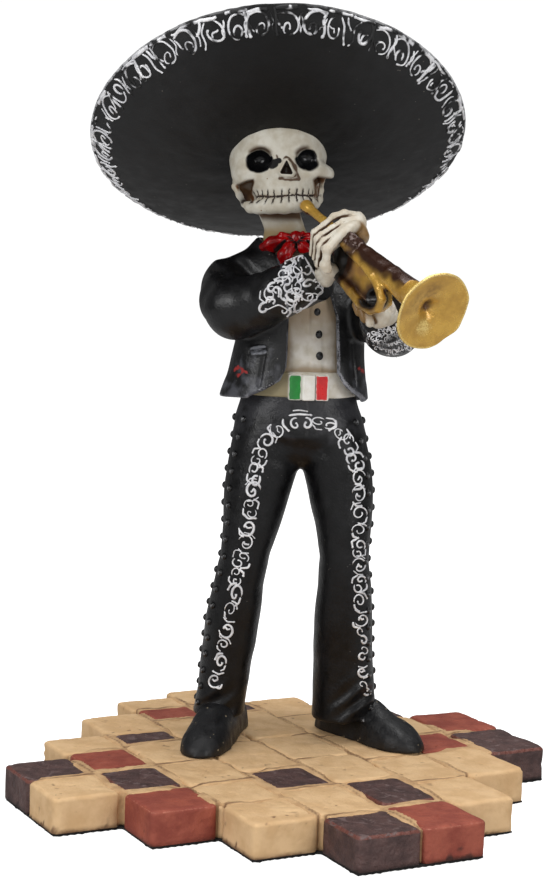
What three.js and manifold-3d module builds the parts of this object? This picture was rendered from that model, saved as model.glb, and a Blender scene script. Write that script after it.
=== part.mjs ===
// A painted resin figurine: a skeleton musician in a sombrero plays a trumpet on a brick base.
// Units are millimetres, +Z is up, +X is to the viewer's right and the figure faces -Y.
// The origin is the middle of the base's outline, on the surface that the felt rests on.

import * as THREE from 'three';
import { mergeVertices } from 'three/addons/utils/BufferGeometryUtils.js';
import Module from 'manifold-3d';

const wasm = await Module();
wasm.setup();

// Driving sizes of the base
const brickPitch = 18;
const rowPitch = 17.68;
const brickJoint = 0.7;
const brickBevel = 1.2;
const baseHeight = 9.8;
const mortarDrop = 1.3;
const mortarInset = 1.4;
const gridTurn = THREE.MathUtils.degToRad(28);
const unevenness = 0.6;
const levelRadius = 46;
const feltThickness = 0.8;
const feltInset = 0.5;

// Driving size of the figure, which is laid out on a canon of 174 parts from sole to crown
const figureHeight = 174;
const canonPartCount = 174;

// Driving sizes of the sombrero
const brimRadius = 50.4;
const brimThickness = 2.2;
const brimSag = 11.6;
const brimSaddle = 1.67;
const crownRadius = 18.5;
const crownHeight = 36;
const crownTip = 8.5;
const crownDent = 3.5;
const hatLean = THREE.MathUtils.degToRad(33.1);
const hatCant = THREE.MathUtils.degToRad(4.4);
const bandWidth = 4.6;
const rimRound = 0.9;
const scrollRelief = 0.5;
const scrollCount = 32;

// Driving sizes of the trumpet
const trumpetLength = 60.8;
const cupRadius = 1.8;
const pipeRadius = 1.2;
const bellRadius = 9.8;
const bellDepth = 8;
const bellLip = 0.7;
const tubeRadius = 2.2;
const slideRadius = 1.6;
const slideDrop = 10.6;
const webThickness = 2.2;
const valveRadius = 1.7;
const valveTop = 2.6;
const valveCount = 3;

// Driving sizes of the trimmings
const studRadius = 0.75;
const studHeight = 0.8;
const studCount = 15;
const buttonRadius = 0.95;
const fingerRadius = 1.25;
const fitGap = 0.3;

// Joining and cutting

function toSolid(geometry) {
  geometry.deleteAttribute('normal');
  geometry.deleteAttribute('uv');
  const merged = mergeVertices(geometry, 1e-4);
  const vertProperties = new Float32Array(merged.attributes.position.array);
  const triVerts = new Uint32Array(merged.index.array);
  return new wasm.Manifold(new wasm.Mesh({ numProp: 3, vertProperties, triVerts }));
}

function toGeometry(solid) {
  const mesh = solid.getMesh();
  const geometry = new THREE.BufferGeometry();
  geometry.setAttribute('position', new THREE.BufferAttribute(new Float32Array(mesh.vertProperties), 3));
  geometry.setIndex(new THREE.BufferAttribute(new Uint32Array(mesh.triVerts), 1));
  geometry.computeVertexNormals();
  return geometry;
}

const join = (geometries) => geometries.map(toSolid).reduce((sum, next) => sum.add(next));

// Rings, lofts, limbs and balls

const vector = (x, y, z) => new THREE.Vector3(x, y, z);
const axisX = vector(1, 0, 0);
const axisY = vector(0, 1, 0);
const axisZ = vector(0, 0, 1);

// A ring of points round a centre: an ellipse, squarer as the power grows past 2
function ring(centre, right, up, halfRight, halfUp, sides, power = 2) {
  return Array.from({ length: sides }, (_, i) => {
    const angle = (2 * Math.PI * (i + 0.5)) / sides;
    const c = Math.cos(angle);
    const s = Math.sin(angle);
    const reach = (Math.abs(c) ** power + Math.abs(s) ** power) ** (-1 / power);
    return centre.clone().addScaledVector(right, halfRight * c * reach)
      .addScaledVector(up, halfUp * s * reach);
  });
}

function centroid(points) {
  return points.reduce((sum, point) => sum.add(point), vector(0, 0, 0)).divideScalar(points.length);
}

// Turns every triangle over when the closed skin faces inwards
function faceOutwards(points, index) {
  let volume = 0;
  for (let i = 0; i < index.length; i += 3) {
    const [a, b, c] = [points[index[i]], points[index[i + 1]], points[index[i + 2]]];
    volume += a.dot(b.clone().cross(c));
  }
  return volume < 0 ? index.map((_, i) => index[i - (i % 3) + [0, 2, 1][i % 3]]) : index;
}

function skin(points, index) {
  const geometry = new THREE.BufferGeometry();
  const numbers = points.flatMap((point) => [point.x, point.y, point.z]);
  geometry.setAttribute('position', new THREE.Float32BufferAttribute(numbers, 3));
  geometry.setIndex(faceOutwards(points, index));
  return geometry;
}

// A closed skin over a row of rings, with a fan over each end
function loft(rings) {
  const sides = rings[0].length;
  const points = [...rings.flat(), centroid(rings[0]), centroid(rings.at(-1))];
  const firstCap = points.length - 2;
  const lastCap = points.length - 1;
  const lastRow = (rings.length - 1) * sides;
  const index = [];
  for (let i = 0; i < sides; i++) {
    const next = (i + 1) % sides;
    for (let row = 0; row < lastRow; row += sides) {
      index.push(row + i, row + next, row + sides + next);
      index.push(row + i, row + sides + next, row + sides + i);
    }
    index.push(firstCap, next, i);
    index.push(lastCap, lastRow + i, lastRow + next);
  }
  return skin(points, index);
}

// A limb through stations of centre, half width and half thickness, each cut square to its path
function limb(stations, sides, side = axisX, power = 2) {
  const rings = stations.map(({ centre, wide, thick }, i) => {
    const before = stations[Math.max(i - 1, 0)].centre;
    const after = stations[Math.min(i + 1, stations.length - 1)].centre;
    const along = after.clone().sub(before).normalize();
    const right = side.clone().addScaledVector(along, -side.dot(along)).normalize();
    const up = along.clone().cross(right);
    return ring(centre, right, up, wide, thick, sides, power);
  });
  return loft(rings);
}

// Adds a small ring beyond each end of a limb, which rounds it off
function rounded(stations, ends = [true, true]) {
  const beyond = (end, inner) => ({
    centre: end.centre.clone().add(end.centre.clone().sub(inner.centre).setLength(end.thick * 0.62)),
    wide: end.wide * 0.58,
    thick: end.thick * 0.58,
  });
  const first = ends[0] ? [beyond(stations[0], stations[1])] : [];
  const last = ends[1] ? [beyond(stations.at(-1), stations.at(-2))] : [];
  return [...first, ...stations, ...last];
}

function ball(centre, radii, around = 12, down = 8) {
  const geometry = new THREE.SphereGeometry(1, around, down);
  geometry.scale(radii.x, radii.y, radii.z);
  return geometry.translate(centre.x, centre.y, centre.z);
}

// The canon: a place on the figure, in parts of its height, with the soles on the base's top

const part = figureHeight / canonPartCount;
const at = (x, y, z) => vector(x * part, y * part, baseHeight + z * part);
const station = ([x, y, z, wide, thick = wide]) => (
  { centre: at(x, y, z), wide: wide * part, thick: thick * part }
);
const size = (x, y, z) => vector(x * part, y * part, z * part);

// Level slices of the body, given as x, y, z, half width and half depth
function stack(slices, sides, power = 2) {
  return loft(slices.map(station).map(({ centre, wide, thick }) => (
    ring(centre, axisX, axisY, wide, thick, sides, power)
  )));
}

const bodyTurn = THREE.MathUtils.degToRad(12);

// The brick base

// Each column of the paving: its number across, where it starts, and its bricks front to back
const columns = [
  { across: -1, from: 1, bricks: [1, 1] },
  { across: 0, from: 0, bricks: [1, 1.1, 1.1, 0.9] },
  { across: 1, from: -1, bricks: [1, 1, 1.15, 1.15, 0.65, 1.15] },
  { across: 2, from: -2, bricks: [1, 1.3, 1.05, 1.55, 1.6, 0.8, 0.7] },
  { across: 3, from: -2, bricks: [1.1, 1.25, 1.3, 1.3, 1.6, 0.85, 0.9] },
  { across: 4, from: -1.2, bricks: [1.2, 1.3, 1.4, 1.4, 1.2] },
  { across: 5, from: 0, bricks: [1.3, 1.05, 1.05, 1] },
  { across: 6, from: 0.9, bricks: [1.3, 1.2] },
];

const columnEnd = ({ from, bricks }) => bricks.reduce((sum, length) => sum + length, from);

function paving(a, b) {
  const [x, y] = [a * brickPitch, b * rowPitch];
  return new THREE.Vector2(x, y).rotateAround(new THREE.Vector2(), gridTurn);
}

// The middle of the paving's outline, which becomes the origin
function pavingMiddle() {
  const box = new THREE.Box2();
  for (const column of columns) {
    for (const a of [column.across, column.across + 1]) {
      box.expandByPoint(paving(a, column.from));
      box.expandByPoint(paving(a, columnEnd(column)));
    }
  }
  return box.getCenter(new THREE.Vector2());
}

const middle = pavingMiddle();
const place = (a, b) => paving(a, b).sub(middle);

// The four corners of a cell of the paving, drawn in by an inset, at one height
function cellRing(a0, a1, b0, b1, inset, z) {
  const [da, db] = [inset / brickPitch, inset / rowPitch];
  const [left, right, front, back] = [a0 + da, a1 - da, b0 + db, b1 - db];
  return [[left, front], [right, front], [right, back], [left, back]].map(([a, b]) => {
    const spot = place(a, b);
    return vector(spot.x, spot.y, z);
  });
}

// Brick tops vary a little, except where the shoes stand
function brickTop(a, b) {
  const spot = place(a, b);
  const wave = 0.5 + 0.5 * Math.sin(a * 12.9 + b * 7.7);
  return spot.length() < levelRadius ? baseHeight : baseHeight - unevenness * wave;
}

function brick(across, from, length) {
  const top = brickTop(across + 0.5, from + length / 2);
  const slice = (extra, z) => (
    cellRing(across, across + 1, from, from + length, brickJoint / 2 + extra, z)
  );
  return loft([
    slice(0, feltThickness),
    slice(0, top - brickBevel),
    slice(brickBevel, top),
  ]);
}

// The stepped edge of the paving on one side, from the left column to the right, drawn in by an inset
function steppedEdge(edgeOf, outward, inset) {
  const [da, db] = [inset / brickPitch, inset / rowPitch];
  const step = (i) => {
    const before = columns[i - 1] ? edgeOf(columns[i - 1]) : -outward * Infinity;
    const after = columns[i] ? edgeOf(columns[i]) : -outward * Infinity;
    return da * Math.sign((after - before) * outward);
  };
  return columns.flatMap((column, i) => {
    const b = edgeOf(column) - outward * db;
    return [place(column.across + step(i), b), place(column.across + 1 + step(i + 1), b)];
  });
}

// A slab under the whole paving, drawn in from its edge
function slab(inset, low, high) {
  const front = steppedEdge((column) => column.from, -1, inset);
  const back = steppedEdge(columnEnd, 1, inset);
  const outline = new THREE.Shape([...front, ...back.reverse()]);
  const geometry = new THREE.ExtrudeGeometry(outline, { depth: high - low, bevelEnabled: false });
  return toSolid(geometry.translate(0, 0, low));
}

function brickBase() {
  let solid = slab(mortarInset, feltThickness, baseHeight - mortarDrop);
  for (const { across, from, bricks } of columns) {
    let start = from;
    for (const length of bricks) {
      solid = solid.add(toSolid(brick(across, start, length)));
      start += length;
    }
  }
  return solid;
}

// The trumpet, on a frame of its own: along the pipe, down from it, and out to the near side

const mouth = at(0.3, -3.6, 144.9);
const grip = at(10.5, -18.8, 136.6);
const along = grip.clone().sub(mouth).normalize();
const drop = vector(0, 0, -1).addScaledVector(along, along.z).normalize();
const near = drop.clone().cross(along).normalize();
const gripAlong = grip.distanceTo(mouth);

const onTrumpet = (t, d, n) => mouth.clone().addScaledVector(along, t)
  .addScaledVector(drop, d).addScaledVector(near, n);
const pipeStation = ([t, d, n, wide, thick = wide]) => ({ centre: onTrumpet(t, d, n), wide, thick });

// The outside of the horn: the mouthpiece cup, the pipe, the tube and the flare of the bell
function hornOutside(grow) {
  const flareStart = trumpetLength - bellDepth;
  const flare = bellRadius - tubeRadius * 1.5;
  return [
    [-grow, 0, 0, cupRadius + grow],
    [2.2, 0, 0, cupRadius * 0.85 + grow],
    [4.5, 0, 0, pipeRadius + grow],
    [gripAlong - 4, 0, 0, pipeRadius + grow],
    [gripAlong - 2, 0, 0, tubeRadius + grow],
    [trumpetLength * 0.7, 0, 0, tubeRadius * 1.25 + grow],
    [flareStart - 2, 0, 0, tubeRadius * 1.6 + grow],
    [trumpetLength - bellDepth * 0.5, 0, 0, tubeRadius * 1.5 + flare * 0.3 + grow],
    [trumpetLength - bellDepth * 0.18, 0, 0, tubeRadius * 1.5 + flare * 0.72 + grow],
    [trumpetLength - bellLip, 0, 0, bellRadius + grow],
    [trumpetLength + grow, 0, 0, bellRadius + grow],
  ].map(pipeStation);
}

function bellMouth() {
  return [
    [trumpetLength - bellDepth * 1.15, 0, 0, tubeRadius * 0.5],
    [trumpetLength - bellDepth * 0.75, 0, 0, tubeRadius * 0.95],
    [trumpetLength - bellDepth * 0.4, 0, 0, bellRadius * 0.45],
    [trumpetLength - bellDepth * 0.15, 0, 0, bellRadius * 0.75],
    [trumpetLength + 0.05, 0, 0, bellRadius - bellLip],
  ].map(pipeStation);
}

const loopEnd = trumpetLength * 0.635;

// The tuning slide: out along the near side of the tube, round a bend and back underneath
function slide(grow) {
  const upper = 2.2;
  const bendMiddle = (upper + slideDrop) / 2;
  const bendRadius = (slideDrop - upper) / 2;
  const bend = [-90, -45, 0, 45, 90].map((degrees) => {
    const angle = THREE.MathUtils.degToRad(degrees);
    const t = loopEnd - bendRadius + bendRadius * Math.cos(angle);
    return [t, bendMiddle + bendRadius * Math.sin(angle), 1.6, slideRadius + grow];
  });
  const start = [gripAlong + 1, upper, 1.6, slideRadius + grow];
  const end = [gripAlong - 3, slideDrop, 1.2, slideRadius + grow];
  return limb([start, ...bend, end].map(pipeStation), 6, near);
}

// A flat web fills the space between the tubes, apart from a window beside the bend
function web(grow) {
  const half = webThickness / 2 + grow;
  return limb([
    [gripAlong - 2, slideDrop / 2, 0.4, half, slideDrop / 2],
    [loopEnd - 3, slideDrop / 2, 0.4, half, slideDrop / 2],
  ].map(pipeStation), 4, near, 20);
}

function window() {
  return limb([
    [loopEnd - 5, slideDrop * 0.62, -4, 2, 1.7],
    [loopEnd - 5, slideDrop * 0.62, 6, 2, 1.7],
  ].map(pipeStation), 6, along);
}

function valves(grow) {
  const step = valveRadius * 2 + 0.2;
  return Array.from({ length: valveCount }, (_, i) => {
    const t = gripAlong + valveRadius + i * step;
    return limb([
      [t, -valveTop - grow, 0, valveRadius + grow],
      [t, slideDrop + 1.6 + grow, 0, valveRadius + grow],
    ].map(pipeStation), 6, along);
  });
}

// The trumpet as it is, or grown all over by a gap to cut room for it in the hands
function trumpet(grow = 0) {
  const body = join([limb(hornOutside(grow), 12), web(grow), slide(grow), ...valves(grow)]);
  return grow > 0 ? body : body.subtract(toSolid(window())).subtract(toSolid(limb(bellMouth(), 12)));
}

// The skull

const cranium = { centre: at(-7.1, 12, 158.5), radii: size(12.9, 15, 13) };

function craniumBall(grow = 0) {
  return ball(cranium.centre, cranium.radii.clone().addScalar(grow), 14, 9);
}

function upperFace(grow = 0) {
  return stack([
    [-6.3, 7.5, 163 + grow, 9.3 + grow, 8.6 + grow],
    [-6.2, 6.6, 160, 11 + grow, 9.3 + grow],
    [-5.9, 6.2, 156, 10.6, 8.4],
    [-5.5, 5.7, 151.5, 9.3, 8],
    [-4.9, 5, 146.6, 7.8, 7.3],
  ], 12, 2.3);
}

function cheekbones() {
  const left = [
    [-10, -0.6, 151.5, 1.5], [-15, 0.6, 151.8, 1.7], [-18.2, 5, 152.2, 1.4], [-18.4, 11, 152.8, 1.1],
  ];
  const right = [
    [-1, -0.6, 151.8, 1.5], [4.2, 0.4, 152.6, 1.7], [7.4, 4.6, 153.2, 1.4], [5.6, 11, 153.8, 1.1],
  ];
  return [left, right].map((path) => limb(path.map(station), 6, axisZ));
}

// The lower jaw, from below one ear round the chin to below the other
function lowerJaw() {
  return limb([
    [-16, 12, 153, 1.3, 2.2],
    [-14.6, 9.5, 146.6, 1.4, 2.5],
    [-12, 3.2, 144.4, 1.6, 2.2],
    [-8.6, -0.9, 144.2, 1.8, 2.4],
    [-4.9, -2, 144.1, 1.9, 2.6],
    [-1.2, -1.3, 144.3, 1.8, 2.4],
    [2.4, 2.6, 145, 1.6, 2.2],
    [4.2, 9, 147.3, 1.4, 2.5],
    [4.6, 12, 153, 1.3, 2.2],
  ].map(station), 6, axisY, 2.6);
}

// Two rows of teeth are one band of upright blocks round the front of the jaws
function teeth() {
  const count = 9;
  return Array.from({ length: count }, (_, i) => {
    const angle = THREE.MathUtils.degToRad(-62 + (124 * i) / (count - 1));
    const x = -4.9 + 7.9 * Math.sin(angle);
    const y = 5.2 - 7.9 * Math.cos(angle);
    return stack([
      [x, y, 144.9, 0.8, 0.7],
      [x, y, 149.6, 0.85, 0.75],
    ], 4, 8);
  });
}

function eyeSockets() {
  return [
    ball(at(-11.6, -2.6, 156.2), size(3.6, 4.4, 3.1), 9, 6),
    ball(at(0.3, -2.4, 156.7), size(3.5, 4.4, 3.1), 9, 6),
  ];
}

function noseOpening() {
  return stack([
    [-4.8, -2.4, 152.3, 1.7, 2.2],
    [-4.8, -2.6, 154, 1.6, 2],
    [-4.9, -2.8, 156.6, 0.6, 1.6],
  ], 6);
}

function skull() {
  const neck = stack([
    [-1.6, 15, 132, 7.2, 6.6],
    [-3.6, 13.6, 136, 5.8, 5.6],
    [-4.8, 13, 141, 4.6, 4.8],
    [-5.6, 13, 150, 4.8, 5],
  ], 10);
  const bone = join([craniumBall(), upperFace(), ...cheekbones(), lowerJaw(), ...teeth(), neck]);
  return bone.subtract(join([...eyeSockets(), noseOpening()]));
}

// The body, the jacket and the arms

function shirtAndTrousers() {
  const hips = [
    [1.7, 14, 75, 3.4, 5], [1.5, 14, 77.4, 8, 7.6], [1.3, 14.2, 80.5, 14.6, 9.8],
    [1.2, 14.4, 84, 17.7, 11.8], [0.9, 14.6, 88, 17.4, 11.6], [0.8, 14.7, 92, 16, 11.2],
    [0.7, 14.8, 94.6, 15, 10.9],
  ];
  const chest = [
    [0.7, 14.8, 94.4, 14.8, 10.4], [0.5, 15, 108, 14.2, 10.3], [0.4, 15.2, 116, 15, 10.8],
    [0.2, 15.4, 124, 15.5, 11], [-0.6, 15.4, 130, 12, 9], [-1.6, 15, 134.5, 7.6, 6.6],
  ];
  return join([stack(hips, 12), stack(chest, 12)]);
}

function sash() {
  return stack([[0.7, 14.8, 94.3, 15.5, 11.5], [0.6, 14.9, 101.2, 15.1, 11.2]], 14);
}

// Three upright plates side by side on the front of the sash
function buckle() {
  return [[-0.5, 3.7], [3, 3.4], [6.6, 4.1]].map(([x, y]) => {
    const box = new THREE.BoxGeometry(3.1 * part, 2.2 * part, 6.6 * part);
    const spot = at(x, y, 97.6);
    return box.rotateZ(bodyTurn).translate(spot.x, spot.y, spot.z);
  });
}

function shirtButtons() {
  return [[4.6, 5, 117.2], [5.3, 5.4, 111.3], [5.7, 5.4, 105.6]].map(([x, y, z]) => (
    ball(at(x, y, z), vector(buttonRadius, buttonRadius, buttonRadius), 6, 4)
  ));
}

// The jacket's open front, as an outline in x and z that is carried through the front half
function jacketOpening() {
  const outline = [
    [-14, 92], [-12.4, 94.2], [-8, 96.4], [-4, 99], [-2, 102.5], [-1.9, 116], [-4.2, 127], [-5.6, 137],
    [1.6, 137], [6.4, 128], [10.6, 116], [11.6, 101.5], [14, 98], [17.6, 94.6], [18.6, 92],
  ];
  const shape = new THREE.Shape(outline.map(([x, z]) => new THREE.Vector2(x * part, z * part)));
  const geometry = new THREE.ExtrudeGeometry(shape, { depth: 22 * part, bevelEnabled: false });
  const corner = at(0, 14, 0);
  return geometry.rotateX(Math.PI / 2).translate(corner.x, corner.y, corner.z);
}

function jacket() {
  const outside = stack([
    [-0.4, 14.8, 94.8, 20, 14.6], [-0.2, 14.9, 99, 18.8, 13.8],
    [0.3, 15.1, 109, 17.6, 12.8], [0.3, 15.2, 116, 18, 12.8], [0.1, 15.3, 123, 19, 12.8],
    [-0.2, 15.4, 127.5, 18.8, 12], [-0.6, 15.4, 130.8, 17.2, 10.6], [-1.2, 15.3, 133.3, 12.9, 9],
    [-2.2, 15, 135.6, 9.6, 7.8],
  ], 16);
  return toSolid(outside).subtract(toSolid(jacketOpening()));
}

function sleeves() {
  const rightUpper = [
    [-13.5, 15.5, 125.5, 6], [-18.3, 14, 122.4, 8.1], [-18.3, 9, 119.6, 8.2], [-16.9, 3.6, 117.7, 8],
  ];
  const rightLower = [
    [-16.4, 3.4, 117.5, 7.9], [-11.5, -0.4, 119.2, 7], [-5.6, -5.4, 122.2, 6.4],
    [-1, -9.3, 124.6, 6.2], [3.3, -12.9, 126.8, 6.5],
  ];
  const leftUpper = [
    [12.5, 16.6, 125, 6], [16, 16.5, 121.4, 7.3], [20.2, 9, 116.6, 7.1], [24.4, 0.5, 113.4, 6.9],
  ];
  const leftLower = [[24.6, 0, 113.3, 6.9], [23.4, -8, 114.4, 6.8], [21.7, -16.5, 116.2, 6.4]];
  return [
    limb(rounded(rightUpper.map(station), [false, true]), 10, axisX),
    limb(rounded(rightLower.map(station), [true, false]), 10, axisZ),
    limb(rounded(leftUpper.map(station), [false, true]), 10, axisX),
    limb(rounded(leftLower.map(station), [true, false]), 10, axisZ),
  ];
}

function wristsAndCuffs() {
  const shirtCuff = [[22.2, -14, 115.9, 4.9], [20.2, -22.6, 117.6, 4.8]];
  const leftWrist = [[20.6, -20, 117.2, 2.8], [18.6, -26, 118.2, 2.8]];
  const rightWrist = [[1.8, -11.6, 126, 3], [6.4, -14, 129, 2.6], [10.6, -14.6, 132.4, 2.8]];
  return [shirtCuff, leftWrist, rightWrist].map((path) => limb(path.map(station), 8, axisZ));
}

// The hands, in finger radii on the trumpet's frame: a finger goes over the pipe and down the near side

const handStation = ([t, d, n, wide, thick = wide]) => ({
  centre: onTrumpet(gripAlong + t * fingerRadius, d * fingerRadius, n * fingerRadius),
  wide: wide * fingerRadius,
  thick: thick * fingerRadius,
});

function rightHand() {
  const palm = [
    [0.16, -4.16, -0.32, 3.52, 1.12], [0, -0.8, -2.56, 3.76, 1.44],
    [-0.8, 3.2, -2.72, 3.52, 1.44], [-2.4, 6.4, -1.6, 2.4, 1.6],
  ];
  const fingers = [-2.8, -0.96, 0.88, 2.72].map((t) => [
    [t, -4.08, -0.32, 1], [t - 0.16, -3.76, 3.04, 0.95],
    [t - 0.32, -0.96, 6.24, 1], [t + 0.16, 5.12, 5.6, 0.85],
  ]);
  const thumb = [[-4, 4.48, -1.92, 1.04], [-5.52, 4.16, 0.48, 0.96], [-5.36, 3.04, 3.04, 0.88]];
  return [
    limb(palm.map(handStation), 6, along, 2.6),
    ...[...fingers, thumb].map((path) => limb(rounded(path.map(handStation), [false, true]), 5, along)),
  ];
}

function leftHand() {
  const palm = [
    [13.28, 11.52, -4.96, 2.4, 1.92], [10.88, 9.92, -3.36, 3.52, 1.6], [9.28, 6.4, -3.04, 3.52, 1.28],
  ];
  const fingers = [6.72, 8.56, 10.4, 12.24].map((t) => [
    [t, 8, -2.88, 1], [t - 0.16, 10.88, -0.64, 0.95], [t, 9.6, 2.88, 0.85],
  ]);
  return [
    limb(palm.map(handStation), 6, along, 2.6),
    ...fingers.map((path) => limb(rounded(path.map(handStation), [false, true]), 5, along)),
  ];
}

function bowTie() {
  const leftWing = [[-2.3, 6.9, 136, 1.4, 1.2], [-6, 7, 135, 2.1, 1.3], [-9.8, 8.2, 134.2, 2.4, 0.9]];
  const rightWing = [[-2.3, 6.9, 136, 1.4, 1.2], [0.4, 6.8, 135.8, 2, 1.3], [3, 7.6, 135.4, 2.3, 0.9]];
  const leftTail = [[-2.6, 6.6, 135.4, 1.2, 1.2], [-4.2, 5.6, 132, 1.6, 1], [-5.6, 4.6, 129.2, 1.9, 0.8]];
  const rightTail = [[-2.2, 6.6, 135.4, 1.2, 1.2], [-1.2, 5.6, 133.2, 1.5, 1], [0, 4.8, 131.4, 1.7, 0.8]];
  const wings = [leftWing, rightWing].map((path) => limb(path.map(station), 5, axisZ, 2.6));
  const tails = [leftTail, rightTail].map((path) => limb(path.map(station), 5, axisX, 2.6));
  return [...wings, ...tails, ball(at(-2.3, 6, 136.1), size(1.7, 1.5, 1.8), 6, 5)];
}

// The legs, the boots and the studs

const leftLeg = [
  [-6, 14.2, 91, 7, 8.5], [-7.8, 14, 82.5, 9, 10.6], [-8.5, 14, 76, 9.4, 10.8], [-9.3, 13.4, 69.5, 9.1, 10.2],
  [-10.6, 12.4, 60, 7.9, 9.2], [-12.3, 11.5, 51, 6.6, 7.9], [-13.7, 12.6, 43, 6.9, 8.2],
  [-15.2, 14.6, 33, 7.4, 8.8], [-16.4, 16.4, 23, 7.1, 8.8], [-17.5, 17.6, 13, 6.8, 9],
  [-18.2, 18.2, 7.5, 6.9, 9.6],
];
const rightLeg = [
  [8, 14.2, 91, 7, 8.5], [10.8, 14, 82.5, 8.4, 10.6], [11.8, 14, 76, 9.1, 10.8],
  [12.6, 13.6, 69.5, 8.9, 10.2],
  [13.8, 12.6, 60, 7.7, 9.2], [14.5, 11.6, 51, 6.6, 7.9], [15, 12.8, 43, 7.3, 8.2],
  [15.1, 15, 33, 7.9, 8.8], [15.4, 17, 23, 8, 8.8], [15.9, 18.3, 13, 8.4, 9],
  [16.1, 18.8, 7, 8.7, 9.8],
];

// A boot along a line on the floor, from heel to toe, flat below and rounded above
function boot(heel, toe) {
  const line = toe.clone().sub(heel);
  const across = vector(-line.y, line.x, 0).normalize();
  const profile = [
    [-0.02, 4.4, 5], [0.05, 5.4, 9], [0.3, 5.6, 12], [0.5, 5.8, 10.6],
    [0.7, 6.5, 7.8], [0.88, 5.9, 5.4], [1, 2.6, 2.8],
  ];
  return loft(profile.map(([share, wide, high]) => {
    const centre = heel.clone().addScaledVector(line, share);
    const arch = ring(centre, across, axisZ, wide * part, high * part, 12, 2.3);
    arch.forEach((point) => { point.z = Math.max(point.z, baseHeight); });
    return arch;
  }));
}

function boots() {
  return [boot(at(-14.6, 28.5, 0), at(-23, -9.4, 0)), boot(at(12.4, 28.6, 0), at(36.4, 2.4, 0))];
}

// Two rows of studs down the outer seam of a leg, spread evenly between the belt and the hem
function legStuds(slices, outward) {
  const spots = slices.map(station);
  const curve = new THREE.CatmullRomCurve3(spots.map(({ centre }) => centre));
  const widths = new THREE.CatmullRomCurve3(spots.map(({ wide, thick }) => vector(wide, thick, 0)));
  return [-0.12, 0.62].flatMap((turn) => Array.from({ length: studCount }, (_, i) => {
    const share = 0.12 + (0.86 * i) / (studCount - 1);
    const centre = curve.getPoint(share);
    const half = widths.getPoint(share);
    const normal = vector(outward * Math.cos(turn), -Math.sin(turn), 0);
    const spot = centre.add(vector(half.x * normal.x, half.y * normal.y, 0));
    return new THREE.ConeGeometry(studRadius, studHeight * 2, 4)
      .rotateX(Math.PI / 2)
      .rotateY(Math.PI / 2)
      .rotateZ(Math.atan2(normal.y, normal.x))
      .translate(spot.x, spot.y, spot.z);
  }));
}

function skeletonFigure() {
  const clothes = [
    limb(leftLeg.map(station), 12), limb(rightLeg.map(station), 12), ...boots(), sash(), ...buckle(),
    ...shirtButtons(), ...sleeves(), ...wristsAndCuffs(), ...rightHand(), ...leftHand(), ...bowTie(),
    ...legStuds(leftLeg, -1), ...legStuds(rightLeg, 1),
  ];
  const whole = join(clothes).add(shirtAndTrousers()).add(jacket()).add(skull());
  return whole.subtract(trumpet(fitGap));
}

// The sombrero, on a frame of its own: round its axis, with height along that axis

const hatCentre = at(-7.3, 18, 164.7);
const hatRight = axisX.clone().applyAxisAngle(axisY, -hatCant);
const hatUp = vector(0, Math.sin(hatLean), Math.cos(hatLean)).applyAxisAngle(axisY, -hatCant);
const hatBack = hatUp.clone().cross(hatRight);

// The brim lifts in front and behind and falls at the sides, more so towards the rim
function onHat(radius, height, angle) {
  const saddle = -brimSaddle * Math.cos(2 * angle) * (radius / brimRadius) ** 2;
  return hatCentre.clone()
    .addScaledVector(hatRight, radius * Math.cos(angle))
    .addScaledVector(hatBack, radius * Math.sin(angle))
    .addScaledVector(hatUp, height + saddle);
}

// How far the underside lies below the rim's plane at a radius
function underside(radius) {
  const share = THREE.MathUtils.clamp(radius / (brimRadius - bandWidth), 0, 1);
  return -brimSag + (brimSag - bandWidth) * share ** 3;
}

// The closed profile from the middle of the underside, round the rim and up over the crown
function hatProfile() {
  const fold = brimRadius - bandWidth;
  const below = [0.4, 0.65, 0.85].map((share) => [fold * share, underside(fold * share)]);
  const rim = [
    [fold, underside(fold)], [brimRadius - rimRound, -rimRound * 1.2], [brimRadius, 0],
    [brimRadius - rimRound, rimRound * 0.6], [fold - rimRound, underside(fold) + brimThickness],
  ];
  const above = [0.85, 0.62].map((share) => [fold * share, underside(fold * share) + brimThickness]);
  const crown = [
    [crownRadius + 1.5, underside(crownRadius) + brimThickness + 0.6],
    [crownRadius - 1.5, underside(crownRadius) + brimThickness + 5],
    [crownTip, crownHeight - 1.5 - brimSag],
    [crownTip * 0.7, crownHeight - brimSag],
  ];
  return [...below, ...rim, ...above, ...crown];
}

function hatBody(sides) {
  const circle = ([radius, height]) => (
    Array.from({ length: sides }, (_, i) => onHat(radius, height, (2 * Math.PI * i) / sides))
  );
  const rings = hatProfile().map(circle);
  const top = [crownTip * 0.3, crownHeight - crownDent - brimSag];
  const bottom = [crownTip, underside(0)];
  return loft([circle(bottom), ...rings, circle(top)]);
}

// A curl is a crescent with blunt ends that lies on the sloping band under the rim
function brimCurl(middle, turn) {
  const fold = brimRadius - bandWidth;
  const edge = brimRadius - rimRound;
  const slope = (-rimRound * 1.2 - underside(fold)) / (edge - fold);
  const reach = (edge - fold) * 0.46;
  const bends = [0, 110, 220].map((degrees) => THREE.MathUtils.degToRad(degrees) + turn);
  const outer = bends.map((angle) => [reach, angle]);
  const inner = bends.map((angle) => [reach * 0.45, angle]);
  const outline = [...outer, ...inner.reverse()];
  const slice = (lift) => outline.map(([radius, angle]) => {
    const out = (fold + edge) / 2 + radius * Math.sin(angle);
    const height = underside(fold) + (out - fold) * slope;
    return onHat(out + lift * slope * 0.5, height - lift, middle + (radius * Math.cos(angle)) / brimRadius);
  });
  return { low: slice(-scrollRelief), high: slice(scrollRelief) };
}

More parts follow.
